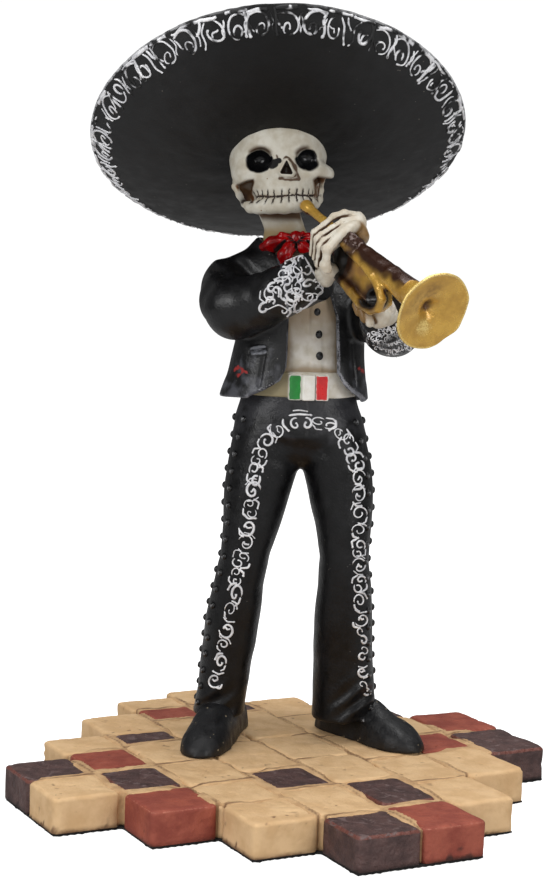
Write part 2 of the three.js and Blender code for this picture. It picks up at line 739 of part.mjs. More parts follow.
// A prism between two like outlines, capped by a strip because a crescent isn't round
function crescent({ low, high }) {
  const count = low.length;
  const half = count / 2;
  const index = [];
  for (let i = 0; i < count; i++) {
    const next = (i + 1) % count;
    index.push(i, next, count + next, i, count + next, count + i);
  }
  for (let i = 0; i < half - 1; i++) {
    const [a, b, c, d] = [i, i + 1, count - 2 - i, count - 1 - i];
    index.push(a, c, b, a, d, c);
    index.push(count + a, count + b, count + c, count + a, count + c, count + d);
  }
  return skin([...low, ...high], index);
}

function sombrero() {
  const curls = Array.from({ length: scrollCount }, (_, i) => (
    crescent(brimCurl((2 * Math.PI * (i + 0.5)) / scrollCount, i % 2 ? Math.PI / 3 : (Math.PI * 4) / 3))
  ));
  const headRoom = join([craniumBall(fitGap), upperFace(fitGap / part)]);
  return toSolid(hatBody(scrollCount)).add(join(curls)).subtract(headRoom);
}

// The object

const finish = (color, roughness, metalness = 0) => (
  new THREE.MeshStandardMaterial({ color, roughness, metalness })
);

const object = new THREE.Group();

function piece(name, solid, material) {
  const mesh = new THREE.Mesh(toGeometry(solid), material);
  mesh.name = name;
  object.add(mesh);
}

piece('felt_pad', slab(feltInset, 0, feltThickness), finish(0x14110f, 0.95));
piece('brick_base', brickBase(), finish(0xc0a06c, 0.85));
piece('skeleton_figure', skeletonFigure(), finish(0x1c1c1e, 0.55));
piece('trumpet', trumpet(), finish(0xb08a30, 0.4, 0.3));
piece('sombrero', sombrero(), finish(0x202021, 0.6));

export default object;
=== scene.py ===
# %% [markdown]
# # A painted resin skeleton musician
#
# The real object is a souvenir that is cast in resin and painted by hand. A skeleton in a short black
# jacket stands on a piece of uneven paving and plays a trumpet under a very wide sombrero. The sizes
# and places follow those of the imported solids. This script makes the looks, one piece after another, and
# each step says what the piece is on the real object and why it is made the way it is.

import bmesh
import bpy
import numpy as np
from mathutils import Matrix, Vector


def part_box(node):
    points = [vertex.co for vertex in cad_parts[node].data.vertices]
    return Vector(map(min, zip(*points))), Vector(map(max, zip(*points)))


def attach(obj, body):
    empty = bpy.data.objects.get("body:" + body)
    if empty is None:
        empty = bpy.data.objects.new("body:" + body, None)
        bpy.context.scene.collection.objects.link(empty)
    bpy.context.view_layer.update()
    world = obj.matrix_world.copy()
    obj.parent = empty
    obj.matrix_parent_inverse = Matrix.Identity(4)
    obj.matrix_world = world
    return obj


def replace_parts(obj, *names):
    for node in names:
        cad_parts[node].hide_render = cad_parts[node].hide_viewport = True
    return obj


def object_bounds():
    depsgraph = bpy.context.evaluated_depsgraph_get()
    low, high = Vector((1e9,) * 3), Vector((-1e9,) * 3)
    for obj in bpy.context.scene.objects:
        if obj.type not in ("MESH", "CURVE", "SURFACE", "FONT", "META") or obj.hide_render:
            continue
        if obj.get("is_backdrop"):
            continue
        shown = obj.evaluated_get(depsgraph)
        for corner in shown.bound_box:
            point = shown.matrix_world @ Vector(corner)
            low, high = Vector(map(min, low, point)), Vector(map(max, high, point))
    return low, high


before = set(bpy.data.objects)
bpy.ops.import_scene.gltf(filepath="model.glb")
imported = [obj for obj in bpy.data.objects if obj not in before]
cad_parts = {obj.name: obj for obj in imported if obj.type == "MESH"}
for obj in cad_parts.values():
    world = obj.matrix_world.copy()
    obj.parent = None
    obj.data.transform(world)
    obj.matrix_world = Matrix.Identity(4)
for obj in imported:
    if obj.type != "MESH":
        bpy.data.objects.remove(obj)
cad_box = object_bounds()
MM = 0.001
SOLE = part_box("skeleton_figure")[0].z / MM
print(f"the soles stand {SOLE:.1f} mm above the table")

# %% [markdown]
# ## The camera and the light
#
# The camera was fitted to the corners of the paving, so its place is known in the object's own
# millimetres. The photograph is a studio shot on white: broad soft lights left and right, a white sweep
# below, and no hard shadow. A white world would wash out the black paint, so the world is white only
# where the camera sees it and dimmer where it lights the object.

# %% The camera
CAMERA_PLACE = (-5.57, -505.1, 144.0)
CAMERA_DOWN = 5.73
CAMERA_ROLL = 1.95
FOCAL_PIXELS = 1931
PHOTO_WIDTH, PHOTO_HEIGHT = 548, 879


def turn_about(axis, degrees):
    """A turning matrix about X (0), Y (1) or Z (2), by the right-hand rule."""
    c, s = np.cos(np.radians(degrees)), np.sin(np.radians(degrees))
    matrix = np.eye(3)
    a, b = [(1, 2), (2, 0), (0, 1)][axis]
    matrix[a, a], matrix[a, b], matrix[b, a], matrix[b, b] = c, -s, s, c
    return matrix


CAMERA_TURN = turn_about(0, 90 - CAMERA_DOWN) @ turn_about(2, CAMERA_ROLL)


def make_camera():
    """The fitted camera. Its lens is the sensor's width times the focal length in pixels, over the pixels of
    the photograph's longer side."""
    data = bpy.data.cameras.new("camera")
    data.lens = data.sensor_width * FOCAL_PIXELS / PHOTO_HEIGHT
    data.clip_start, data.clip_end = 0.05, 10.0
    camera = bpy.data.objects.new("camera", data)
    bpy.context.scene.collection.objects.link(camera)
    camera.location = [value * MM for value in CAMERA_PLACE]
    camera.rotation_euler = Matrix(CAMERA_TURN.tolist()).to_euler()
    bpy.context.scene.camera = camera
    return camera


camera = make_camera()
print(f"the lens is {camera.data.lens:.1f} mm")


# %% From a pixel to a place
def rays_through(pixels):
    """Unit directions from the camera through pixels of the photograph."""
    pixels = np.atleast_2d(np.array(pixels, float))
    rays = np.stack([pixels[:, 0] - PHOTO_WIDTH / 2, PHOTO_HEIGHT / 2 - pixels[:, 1],
                     np.full(len(pixels), -FOCAL_PIXELS)], axis=1) @ CAMERA_TURN.T
    return rays / np.linalg.norm(rays, axis=1)[:, None]


def on_depth(pixels, y):
    """Where those rays cross the upright plane at depth y, in millimetres."""
    rays = rays_through(pixels)
    return np.array(CAMERA_PLACE) + rays * ((np.asarray(y) - CAMERA_PLACE[1]) / rays[:, 1])[:, None]


print(f"the bow tie's knot is at {on_depth((296, 238), 6.0)[0].round(1)}")

# %% The lights, the world and the floor
def soft_light(name, place, aim, width, watts, tint=(1.0, 1.0, 1.0)):
    """A square light at a place in metres, turned towards its aim."""
    data = bpy.data.lights.new(name, "AREA")
    data.size, data.energy, data.color = width, watts, tint
    light = bpy.data.objects.new(name, data)
    bpy.context.scene.collection.objects.link(light)
    light.location = place
    light.rotation_euler = (Vector(aim) - Vector(place)).to_track_quat("-Z", "Y").to_euler()


soft_light("left_box", (-0.55, -0.50, 0.42), (0, 0, 0.1), 0.40, 3.0)
soft_light("right_box", (0.55, -0.55, 0.34), (0, 0, 0.11), 0.36, 2.2)
soft_light("top_box", (0.05, 0.05, 0.85), (0, 0, 0.1), 0.7, 6.5)
soft_light("low_fill", (0.0, -0.75, 0.12), (0, 0, 0.12), 0.5, 0.9)


def white_world(seen, lit):
    """White behind the object for the camera, and a dimmer even light for everything else."""
    world = bpy.data.worlds.new("studio")
    world.use_nodes = True
    tree = world.node_tree
    back, path = tree.nodes["Background"], tree.nodes.new("ShaderNodeLightPath")
    level = tree.nodes.new("ShaderNodeMapRange")
    level.inputs["To Min"].default_value, level.inputs["To Max"].default_value = lit, seen
    tree.links.new(path.outputs["Is Camera Ray"], level.inputs["Value"])
    tree.links.new(level.outputs["Result"], back.inputs["Strength"])
    back.inputs["Color"].default_value = (1, 1, 1, 1)
    bpy.context.scene.world = world


def pale_floor(reach=3.0):
    """A white sweep. It shines by itself only where the camera sees it, so that it looks white without
    lighting the object from below."""
    data = bpy.data.meshes.new("floor")
    data.from_pydata([(-reach, -reach, 0), (reach, -reach, 0), (reach, reach, 0), (-reach, reach, 0)],
                     [], [(0, 1, 2, 3)])
    floor = bpy.data.objects.new("floor", data)
    bpy.context.scene.collection.objects.link(floor)
    made = bpy.data.materials.new("floor_white")
    made.use_nodes = True
    shader = made.node_tree.nodes["Principled BSDF"]
    shader.inputs["Base Color"].default_value = (0.5, 0.5, 0.5, 1)
    shader.inputs["Roughness"].default_value = 0.9
    shader.inputs["Emission Color"].default_value = (1, 1, 1, 1)
    path = made.node_tree.nodes.new("ShaderNodeLightPath")
    made.node_tree.links.new(path.outputs["Is Camera Ray"], shader.inputs["Emission Strength"])
    data.materials.append(made)
    floor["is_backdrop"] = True


white_world(seen=1.05, lit=0.16)
pale_floor()
bpy.context.scene.view_settings.view_transform = "Standard"
print("the studio is lit")

# %% [markdown]
# ## Tools for shapes
#
# Two kinds of shape are used. Thin and regular things, such as the brim, the blocks and the scrolls, are
# surfaces with two parameters on a grid. Modelled things, such as the skull, the hands and the clothes,
# are cast from a distance field: a function that says how far each point is from the surface, negative
# inside. Such fields join softly, as wax does, and a net of quads is then laid over the place where the
# field is zero. Both are worked out as whole arrays.

# %% Smooth noise
HASH_COUNT = 8192
HASHES = np.random.default_rng(11).random(HASH_COUNT) * 2 - 1
HASH_PRIMES = np.array([73856093, 19349663, 83492791])
SEED_SHIFT = 17.37


def noise(points, size, seed=0):
    """Random values from -1 to 1 on a lattice of the given size, blended by t*t*(3-2t) between corners."""
    q = points / size + seed * SEED_SHIFT
    base = np.floor(q).astype(np.int64)
    t = q - base
    t = t * t * (3 - 2 * t)
    total = 0
    for corner in np.ndindex(2, 2, 2):
        key = (base + corner) @ HASH_PRIMES
        weight = np.prod(np.where(corner, t, 1 - t), axis=1)
        total = total + weight * HASHES[(key ^ (key >> 13)) & (HASH_COUNT - 1)]
    return total


def rough(points, size, octaves=3, seed=0):
    """A sum of noises, each half the size and half the height of the one before."""
    layers = [noise(points, size / 2 ** i, seed + i) / 2 ** i for i in range(octaves)]
    return sum(layers) / sum(0.5 ** i for i in range(octaves))


# %% Distance fields
def at(x, y, z):
    """A place on the figure: millimetres across, deep and above the soles."""
    return np.array([x, y, z + SOLE])


def blend_in(a, b, soft):
    """The union of two fields, with a fillet about soft wide: b and a mixed by h, less soft*h*(1-h)."""
    h = np.clip(0.5 + 0.5 * (b - a) / soft, 0, 1)
    return b + (a - b) * h - soft * h * (1 - h)


def cut_out(a, b, soft):
    """What is left of a when b is taken away, with a rounded edge."""
    return -blend_in(-a, b, soft)


def rod(points, start, end, r0, r1):
    """The distance to the nearest point on a line, less a radius that changes evenly along it."""
    line = end - start
    share = np.clip((points - start) @ line / (line @ line), 0, 1)
    return np.linalg.norm(points - start - share[:, None] * line, axis=1) - (r0 + (r1 - r0) * share)


def chain_between(points, places, radii, soft):
    """Rods end to end through places, each joined softly to those before it."""
    links = [rod(points, places[i], places[i + 1], radii[i], radii[i + 1]) for i in range(len(places) - 1)]
    made = links[0]
    for link in links[1:]:
        made = blend_in(made, link, soft)
    return made


def chain(points, rows, soft=1.0):
    """Rods end to end through rows of x, y, z, radius in the figure's places."""
    return chain_between(points, [at(*row[:3]) for row in rows], [row[3] for row in rows], soft)


def egg(points, centre, radii, turned=None):
    """An ellipsoid: with k0 = |p/r| and k1 = |p/r^2|, the distance is about k0*(k0-1)/k1."""
    p = points - centre
    if turned is not None:
        p = p @ turned
    radii = np.array(radii, float)
    k0 = np.linalg.norm(p / radii, axis=1)
    k1 = np.linalg.norm(p / radii ** 2, axis=1)
    return k0 * (k0 - 1) / np.maximum(k1, 1e-6)


def slab_box(points, centre, half, turned=None, edge=0.4):
    """A box with rounded edges: the length of what sticks out of the inner box, less the edge."""
    p = points - centre
    if turned is not None:
        p = p @ turned
    out = np.abs(p) - (np.array(half, float) - edge)
    return np.linalg.norm(np.maximum(out, 0), axis=1) + np.minimum(out.max(axis=1), 0) - edge


def eased(where, stops, values, soften=0.12):
    """A smooth curve through values at stops: straight pieces, averaged over a Hann window."""
    fine = np.linspace(stops[0], stops[-1], 240)
    straight = np.interp(fine, stops, values)
    half = max(int(240 * soften / 2), 2)
    window = np.hanning(2 * half + 3)[1:-1]
    padded = np.pad(straight, half, mode="reflect", reflect_type="odd")
    return np.interp(where, fine, np.convolve(padded, window / window.sum(), mode="valid"))


def slices(points, rows, power=2.0, soften=0.12, end=0.8):
    """Level ellipses x, y, z, half width, half depth, eased into each other from the lowest up."""
    table = np.array(rows, float)
    heights = table[:, 2] + SOLE
    z = points[:, 2]
    x, y, wide, deep = [eased(z, heights, table[:, i], soften) for i in (0, 1, 3, 4)]
    across, back = np.abs((points[:, 0] - x) / wide), np.abs((points[:, 1] - y) / deep)
    side = ((across ** power + back ** power) ** (1 / power) - 1) * np.minimum(wide, deep)
    ends = np.maximum(heights[0] - z, z - heights[-1])
    return -blend_in(-side, -ends, end)


# %% Places seen from the front
FRONT_ON = np.array([1, 0, 1])
FAR = 9.0


def front_plane(points):
    """The points as seen from the front: across, and above the soles."""
    return np.stack([points[:, 0], points[:, 2] - SOLE], axis=1)


def front_lines(points, pairs):
    """The distance to the nearest of some lines from a start to an end, as seen from the front."""
    return np.minimum.reduce([rod(points * FRONT_ON, start * FRONT_ON, end * FRONT_ON, 0, 0)
                              for start, end in pairs])


def nowhere(points):
    """For a painted mark that a piece doesn't carry: every point lies far from it."""
    return np.full(len(points), FAR)


# %% From a field to a mesh
PART_POINTS = 200000


def sample(shape, low, counts, step, block=4):
    """The field on a grid of points. Blocks that lie far from the surface keep one rough value."""
    blocks = counts // block
    middles = (np.indices(blocks).reshape(3, -1).T * block + (block - 1) / 2) * step + low
    rough_values = shape(middles).reshape(blocks)
    field = rough_values
    for axis in range(3):
        field = np.repeat(field, block, axis=axis)
    near = np.abs(field) < block * step * 1.7
    spots = np.argwhere(near) * step + low
    parts = [shape(part) for part in np.array_split(spots, max(len(spots) // PART_POINTS, 1))]
    field[near] = np.concatenate(parts)
    return field


def net_over(field, low, step):
    """A surface net. A cell that the surface crosses gets one point, the mean of the crossings on its
    twelve edges, and each grid edge that changes sign gets a quad between the four cells round it."""
    cells = np.array(field.shape) - 1
    total, count = np.zeros((*cells, 3)), np.zeros(cells)
    faces = []
    for axis in range(3):
        u, v = [k for k in range(3) if k != axis]
        for du, dv in np.ndindex(2, 2):
            first, second = [slice(0, n) for n in cells], [slice(0, n) for n in cells]
            for k, d in ((u, du), (v, dv)):
                first[k] = second[k] = slice(d, cells[k] + d)
            second[axis] = slice(1, cells[axis] + 1)
            a, b = field[tuple(first)], field[tuple(second)]
            crossed = (a < 0) != (b < 0)
            share = np.where(crossed, a / np.where(crossed, a - b, 1), 0)
            total[..., axis] += share
            total[..., u] += crossed * du
            total[..., v] += crossed * dv
            count += crossed
    used = count > 0
    number = np.full(cells, -1)
    number[used] = np.arange(used.sum())
    places = (np.argwhere(used) + total[used] / count[used][:, None]) * step + low
    for axis in range(3):
        u, v = [(1, 2), (2, 0), (0, 1)][axis]
        here, there = [slice(None)] * 3, [slice(None)] * 3
        here[axis], there[axis] = slice(0, -1), slice(1, None)
        a, b = field[tuple(here)] < 0, field[tuple(there)] < 0
        spots = np.argwhere(a != b)
        both = spots[:, [u, v]]
        spots = spots[((both > 0) & (both < cells[[u, v]])).all(axis=1)]
        eu, ev = np.eye(3, dtype=int)[[u, v]]
        corners = [number[tuple((spots - du * eu - dv * ev).T)]
                   for du, dv in ((1, 1), (0, 1), (0, 0), (1, 0))]
        quads = np.stack(corners, axis=1)
        inward = b[tuple(spots.T)]
        quads[inward] = quads[inward][:, ::-1]
        faces.append(quads)
    return places, np.concatenate(faces)


def slope(shape, points, reach=0.05):
    """The direction in which the field grows fastest and how fast, by differences over a short reach."""
    steps = np.eye(3) * reach
    rise = np.stack([shape(points + s) - shape(points - s) for s in steps], axis=1) / (2 * reach)
    return rise / np.maximum(np.linalg.norm(rise, axis=1), 1e-6)[:, None], np.linalg.norm(rise, axis=1)


def onto(shape, points, rounds=2):
    """Moves points along the slope until they lie on the surface, no further than 0.5 mm a round."""
    for _ in range(rounds):
        way, steep = slope(shape, points)
        shift = np.clip(shape(points) / np.maximum(steep, 0.3), -0.5, 0.5)
        points = points - way * shift[:, None]
    return points


def cast(shape, low, high, step):
    """The whole way from a field to points, quads, outward normals and hollowness from 0 to 1."""
    low = np.array(low, float)
    counts = np.ceil((np.array(high) - low) / step / 4).astype(int) * 4
    points, quads = net_over(sample(shape, low, counts, step), low, step)
    points = onto(shape, points)
    normals, _ = slope(shape, points, step / 2)
    reaches = [0.5, 1.2, 2.4]
    shade = sum(1 - np.clip(shape(points + normals * r) / r, 0, 1) for r in reaches) / len(reaches)
    return points, quads, normals, shade


# %% From arrays to an object
def shaded(piece, **values):
    """Stores one number for each point of the mesh, which the materials read by name."""
    for name, data in values.items():
        attribute = piece.data.attributes.new(name, "FLOAT", "POINT")
        attribute.data.foreach_set("value", np.asarray(data, np.float32))


def weld(data):
    """Merges points that lie on each other, which closes the poles of a grid of quads."""
    mesh = bmesh.new()
    mesh.from_mesh(data)
    bmesh.ops.remove_doubles(mesh, verts=mesh.verts, dist=1e-7)
    mesh.to_mesh(data)
    mesh.free()


def make_piece(name, points, faces, paint, slot, welded=False, **values):
    """A smooth mesh object at the origin, from points in millimetres, riding on the one body."""
    data = bpy.data.meshes.new(name)
    data.from_pydata((np.asarray(points) * MM).tolist(), [], np.asarray(faces).tolist())
    data.polygons.foreach_set("use_smooth", np.ones(len(data.polygons), bool))
    data.materials.append(paint)
    piece = bpy.data.objects.new(name, data)
    bpy.context.scene.collection.objects.link(piece)
    shaded(piece, **values)
    if welded:
        weld(data)
    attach(piece, "root")
    print(f"{name}: {len(points)} points, {len(data.polygons)} faces")
    return piece


def joined(parts):
    """Several (points, faces, ...) tuples as one, with the face numbers shifted."""
    offsets = np.cumsum([0] + [len(part[0]) for part in parts[:-1]])
    faces = np.concatenate([part[1] + offset for part, offset in zip(parts, offsets)])
    rest = [np.concatenate(column) for column in list(zip(*parts))[2:]]
    return (np.concatenate([part[0] for part in parts]), faces, *rest)


def round_angles(count, offset=0):
    """Angles that lie evenly round a circle."""
    return 2 * np.pi * (np.arange(count) + offset) / count


def run_along(path):
    """The length of a path up to each of its points."""
    return np.concatenate([[0], np.cumsum(np.linalg.norm(np.diff(path, axis=0), axis=1))])


def resampled(where, stops, table):
    """Both columns of a table, read between its stops."""
    return np.stack([np.interp(where, stops, table[:, i]) for i in (0, 1)], axis=1)


def repeated(faces, copies, count):
    """The same faces for several copies of a shape that has so many points."""
    return (faces[None] + (np.arange(copies) * count)[:, None, None]).reshape(-1, 4)


def grid_faces(rows, columns, wrap_rows=False, wrap_columns=False):
    """Quads over a grid of points, closed round either way where asked."""
    shape = (rows if wrap_rows else rows - 1, columns if wrap_columns else columns - 1)
    r, c = np.indices(shape).reshape(2, -1)
    r2, c2 = (r + 1) % rows, (c + 1) % columns
    return np.stack([r * columns + c, r * columns + c2, r2 * columns + c2, r2 * columns + c], axis=1)

# %% [markdown]
# ## Paints
#
# The casting is painted by hand and then washed with thin brown paint that stays in the hollows. High
# spots of the black cloth were dry-brushed with silver. These effects come back on almost every piece, so
# each one is a node group that gives a value between 0 and 1, and the shader itself stays in each
# material. The hollows and the edges are worked out for each point of the mesh and stored there.

# %% Node helpers
def add_node(tree, kind, links=None, **settings):
    """Adds a node; links gives each input socket by name or number, as a value or another socket."""
    made = tree.nodes.new(kind)
    for name, value in settings.items():
        setattr(made, name, value)
    for name, value in (links or {}).items():
        if isinstance(value, bpy.types.NodeSocket):
            tree.links.new(value, made.inputs[name])
        else:
            made.inputs[name].default_value = value
    return made


def math(tree, operation, a, b=0.0, clamp=False):
    """One step of arithmetic on two sockets or numbers."""
    return add_node(tree, "ShaderNodeMath", {0: a, 1: b}, operation=operation, use_clamp=clamp).outputs[0]


def blend_colour(tree, share, a, b):
    """A colour between a and b by the share, mixed as light is."""
    made = add_node(tree, "ShaderNodeMix", data_type="RGBA")
    for index, value in ((0, share), (6, a), (7, b)):
        if isinstance(value, bpy.types.NodeSocket):
            tree.links.new(value, made.inputs[index])
        else:
            made.inputs[index].default_value = value if index == 0 else (*value, 1.0)
    return made.outputs[2]


def effect_group(name, inputs):
    """A node group with named number inputs and one output called Mask."""
    group = bpy.data.node_groups.new(name, "ShaderNodeTree")
    for label, value in inputs.items():
        socket = group.interface.new_socket(label, in_out="INPUT", socket_type="NodeSocketFloat")
        socket.default_value = value
    group.interface.new_socket("Mask", in_out="OUTPUT", socket_type="NodeSocketFloat")
    start, end = group.nodes.new("NodeGroupInput"), group.nodes.new("NodeGroupOutput")
    place = add_node(group, "ShaderNodeTexCoord").outputs["Object"]
    return group, start.outputs, place, lambda value: group.links.new(value, end.inputs["Mask"])


def seed_noise(tree, place, scale, detail=3.0, roughness=0.55):
    """Noise from 0 to 1 at a place, with the scale in patches to the metre."""
    return add_node(tree, "ShaderNodeTexNoise", {"Vector": place, "Scale": scale, "Detail": detail,
                                                 "Roughness": roughness}).outputs["Fac"]


def between(tree, value, low, high):
    """0 below low, 1 above high, smooth between them."""
    return add_node(tree, "ShaderNodeMapRange", {"Value": value, "From Min": low, "From Max": high},
                    interpolation_type="SMOOTHSTEP").outputs["Result"]


# %% Four effects that the paints share
def make_mottle():
    """Large soft patches: noise, stretched so that its middle fills the range from 0 to 1."""
    group, given, place, give = effect_group("mottle", {"Scale": 400.0})
    give(between(group, seed_noise(group, place, given["Scale"], 4.0), 0.32, 0.68))
    return group


def make_brown_wash():
    """Paint that settled: the hollow attribute times Amount, broken up by noise."""
    group, given, place, give = effect_group("brown_wash", {"Amount": 1.0, "Scale": 900.0, "Start": 0.15})
    hollow = add_node(group, "ShaderNodeAttribute", attribute_name="hollow").outputs["Fac"]
    uneven = math(group, "MULTIPLY_ADD", seed_noise(group, place, given["Scale"], 4.0), 0.5)
    uneven.node.inputs[2].default_value = -0.25
    spread = math(group, "ADD", math(group, "MULTIPLY", hollow, given["Amount"]), uneven)
    give(between(group, spread, given["Start"], math(group, "ADD", given["Start"], 0.55)))
    return group


def make_dry_brush():
    """A nearly dry brush that only touches edges: the edge attribute where fine noise lets it through."""
    group, given, place, give = effect_group("dry_brush", {"Amount": 1.0, "Scale": 2500.0, "Start": 0.5})
    edge = add_node(group, "ShaderNodeAttribute", attribute_name="edge").outputs["Fac"]
    streaks = seed_noise(group, place, given["Scale"], 3.0, 0.7)
    spread = math(group, "MULTIPLY", math(group, "MULTIPLY", edge, given["Amount"]),
                  math(group, "ADD", streaks, 0.5))
    give(between(group, spread, given["Start"], math(group, "ADD", given["Start"], 0.25)))
    return group


def make_specks():
    """Dust and stray dots of paint: the inside of small cells, kept only where a slow noise is high."""
    group, given, place, give = effect_group("specks", {"Scale": 500.0, "Size": 0.18, "Rarity": 0.5})
    cells = add_node(group, "ShaderNodeTexVoronoi", {"Vector": place, "Scale": given["Scale"]})
    kept = math(group, "GREATER_THAN", seed_noise(group, place, 260.0, 2.0), given["Rarity"])
    dots = math(group, "LESS_THAN", cells.outputs["Distance"], given["Size"])
    give(math(group, "MULTIPLY", kept, dots))
    return group


MOTTLE, WASH, DRY_BRUSH, SPECKS = make_mottle(), make_brown_wash(), make_dry_brush(), make_specks()
print("four effects are ready")


# %% One painted finish
def srgb(r, g, b):
    """The colour that a screen shows as r, g, b from 0 to 255, as light."""
    value = np.array([r, g, b]) / 255
    return tuple(np.where(value <= 0.04045, value / 12.92, ((value + 0.055) / 1.055) ** 2.4).tolist())


def use(tree, group, **values):
    """Places an effect in a material, with its own values."""
    made = add_node(tree, "ShaderNodeGroup", node_tree=group)
    for name, value in values.items():
        made.inputs[name].default_value = value
    return made.outputs["Mask"]


def mark(tree, attribute, low, high):
    """1 where the attribute is below low, 0 where it is above high."""
    value = add_node(tree, "ShaderNodeAttribute", attribute_name=attribute).outputs["Fac"]
    return math(tree, "SUBTRACT", 1.0, between(tree, value, low, high))


paints = {}
WASH_DULL, WEAR_DULL, SPECK_DULL = 0.75, 0.42, 0.8


def painted(name, colour, patches, rough, wash=None, wear=None, specks=None, marks=(), bump=0.05,
            grain=3000.0, mottle=350.0, coat=0.0, metal=0.0, relief=0.35, shine_level=0.5):
    """A hand-painted finish: two near colours in patches, then wash, wear and specks on top of them.
    Each of these is a colour and the values of its effect, and marks are painted places: a mask or an
    attribute with its limits, then a colour and a roughness. The grain is a bump so many mm high."""
    made = bpy.data.materials.new(name)
    made.use_nodes = True
    tree = made.node_tree
    shader = tree.nodes["Principled BSDF"]
    patchy = use(tree, MOTTLE, Scale=mottle)
    top = blend_colour(tree, patchy, srgb(*colour), srgb(*patches))
    shine = add_node(tree, "ShaderNodeMapRange", {"Value": patchy, "To Min": rough[0], "To Max": rough[1]})
    shine = shine.outputs["Result"]
    for layer, group, dull in ((wash, WASH, WASH_DULL), (wear, DRY_BRUSH, WEAR_DULL),
                               (specks, SPECKS, SPECK_DULL)):
        if layer:
            mask = use(tree, group, **layer[1])
            top = blend_colour(tree, mask, top, srgb(*layer[0]))
            shine = add_node(tree, "ShaderNodeMix", {0: mask, 2: shine, 3: dull}).outputs[0]
    for where, tint, dull in marks:
        mask = where(tree) if callable(where) else mark(tree, *where)
        top = blend_colour(tree, mask, top, srgb(*tint))
        shine = add_node(tree, "ShaderNodeMix", {0: mask, 2: shine, 3: dull}).outputs[0]
    place = add_node(tree, "ShaderNodeTexCoord").outputs["Object"]
    height = math(tree, "ADD", seed_noise(tree, place, grain, 4.0, 0.6),
                  math(tree, "MULTIPLY", seed_noise(tree, place, grain / 6, 3.0), 1.5))
    raised = add_node(tree, "ShaderNodeBump", {"Height": height, "Strength": relief, "Distance": bump * MM})
    for socket, value in (("Base Color", top), ("Roughness", shine), ("Normal", raised.outputs["Normal"])):
        tree.links.new(value, shader.inputs[socket])
    shader.inputs["Coat Weight"].default_value = coat
    shader.inputs["Coat Roughness"].default_value = 0.12
    shader.inputs["Metallic"].default_value = metal
    shader.inputs["Specular IOR Level"].default_value = shine_level
    paints[name] = made


# %% The teeth, drawn by the material
def tooth_lines(tree):
    """Thin dark lines: one along the bite, and upright ones where the tooth number is whole. A shader can
    draw them finer than the mesh, because both attributes change evenly over the jaw."""
    tooth, bite, front = [add_node(tree, "ShaderNodeAttribute", attribute_name=name).outputs["Fac"]
                          for name in ("tooth", "bite", "front")]
    place = add_node(tree, "ShaderNodeTexCoord").outputs["Object"]
    wobble = math(tree, "SUBTRACT", seed_noise(tree, place, 1500.0, 2.0), 0.5)
    gap = math(tree, "PINGPONG", math(tree, "ADD", tooth, math(tree, "MULTIPLY", wobble, 0.35)), 0.5)
    height = math(tree, "ABSOLUTE", math(tree, "ADD", bite, math(tree, "MULTIPLY", wobble, 0.8)))
    upright = math(tree, "MULTIPLY", math(tree, "SUBTRACT", 1.0, between(tree, gap, 0.065, 0.165)),
                   math(tree, "SUBTRACT", 1.0, between(tree, height, 1.2, 2.2)))
    level = math(tree, "SUBTRACT", 1.0, between(tree, height, 0.14, 0.30))
    return math(tree, "MULTIPLY", math(tree, "MAXIMUM", upright, level), front, clamp=True)


# %% The paints of this figure
BROWN = (104, 70, 42)
# Painted shade on the skull: brown under the jaw, brown to near black in the cheek hollows and their walls, and
# brown at the top of each eye socket under the brow.
painted("skull_bone", (196, 192, 180), (178, 170, 153), (0.38, 0.55),
        wash=(BROWN, dict(Amount=1.3, Start=0.38, Scale=900.0)),
        specks=((130, 100, 70), dict(Scale=420.0, Size=0.08, Rarity=0.54)),
        marks=[(("neck", -1.5, 3.0), (148, 128, 92), 0.6), (("chin_shadow", 0.6, 2.6), (80, 58, 38), 0.7),
               (("pit", -0.3, 0.5), (98, 70, 44), 0.65), (("pit", -1.8, -0.2), (44, 28, 19), 0.7),
               (("brown_line", 0.2, 0.55), (76, 56, 40), 0.6), (tooth_lines, (38, 27, 21), 0.6),
               (("glow", -0.2, 1.2), (72, 52, 36), 0.5), (("socket", 0.15, 0.65), (11, 11, 13), 0.2),
               (("nose", -0.1, 0.08), (24, 16, 13), 0.4), (("black_line", 0.6, 0.85), (5, 3, 3), 0.7)],
        bump=0.10, grain=1800.0, shine_level=0.32)
painted("bone", (212, 206, 192), (196, 184, 164), (0.4, 0.56),
        wash=((84, 58, 36), dict(Amount=1.5, Start=0.36, Scale=700.0)),
        marks=[(("grime", -0.3, 1.6), (122, 92, 50), 0.5)],
        specks=((120, 90, 60), dict(Scale=420.0, Size=0.08, Rarity=0.52)), bump=0.12, grain=1800.0)
# The worn mark on the trousers is grey wear and painted sheen at the hips.
painted("black_cloth", (8, 8, 9), (15, 15, 17), (0.28, 0.42),
        wear=((140, 140, 144), dict(Amount=0.9, Start=0.62, Scale=2600.0)),
        specks=((110, 108, 102), dict(Scale=700.0, Size=0.07, Rarity=0.6)), bump=0.26, grain=1500.0,
        marks=[(("worn", -0.2, 1.0), (44, 44, 47), 0.34)], shine_level=0.28, relief=0.5)
# On the jacket the worn mark is grey wear and painted sheen towards the hem, and the rim mark also paints
# highlights on the pocket folds.
painted("jacket_black", (8, 8, 9), (15, 15, 17), (0.28, 0.42),
        wear=((140, 140, 146), dict(Amount=0.95, Start=0.6, Scale=2600.0)),
        specks=((126, 124, 118), dict(Scale=620.0, Size=0.08, Rarity=0.56)), bump=0.22, grain=1500.0,
        marks=[(("worn", -0.2, 1.1), (74, 75, 81), 0.34), (("rim", 0.1, 0.6), (112, 114, 120), 0.4),
               (("red_thread", 0.2, 0.6), (150, 38, 36), 0.5)], shine_level=0.4, relief=0.5)
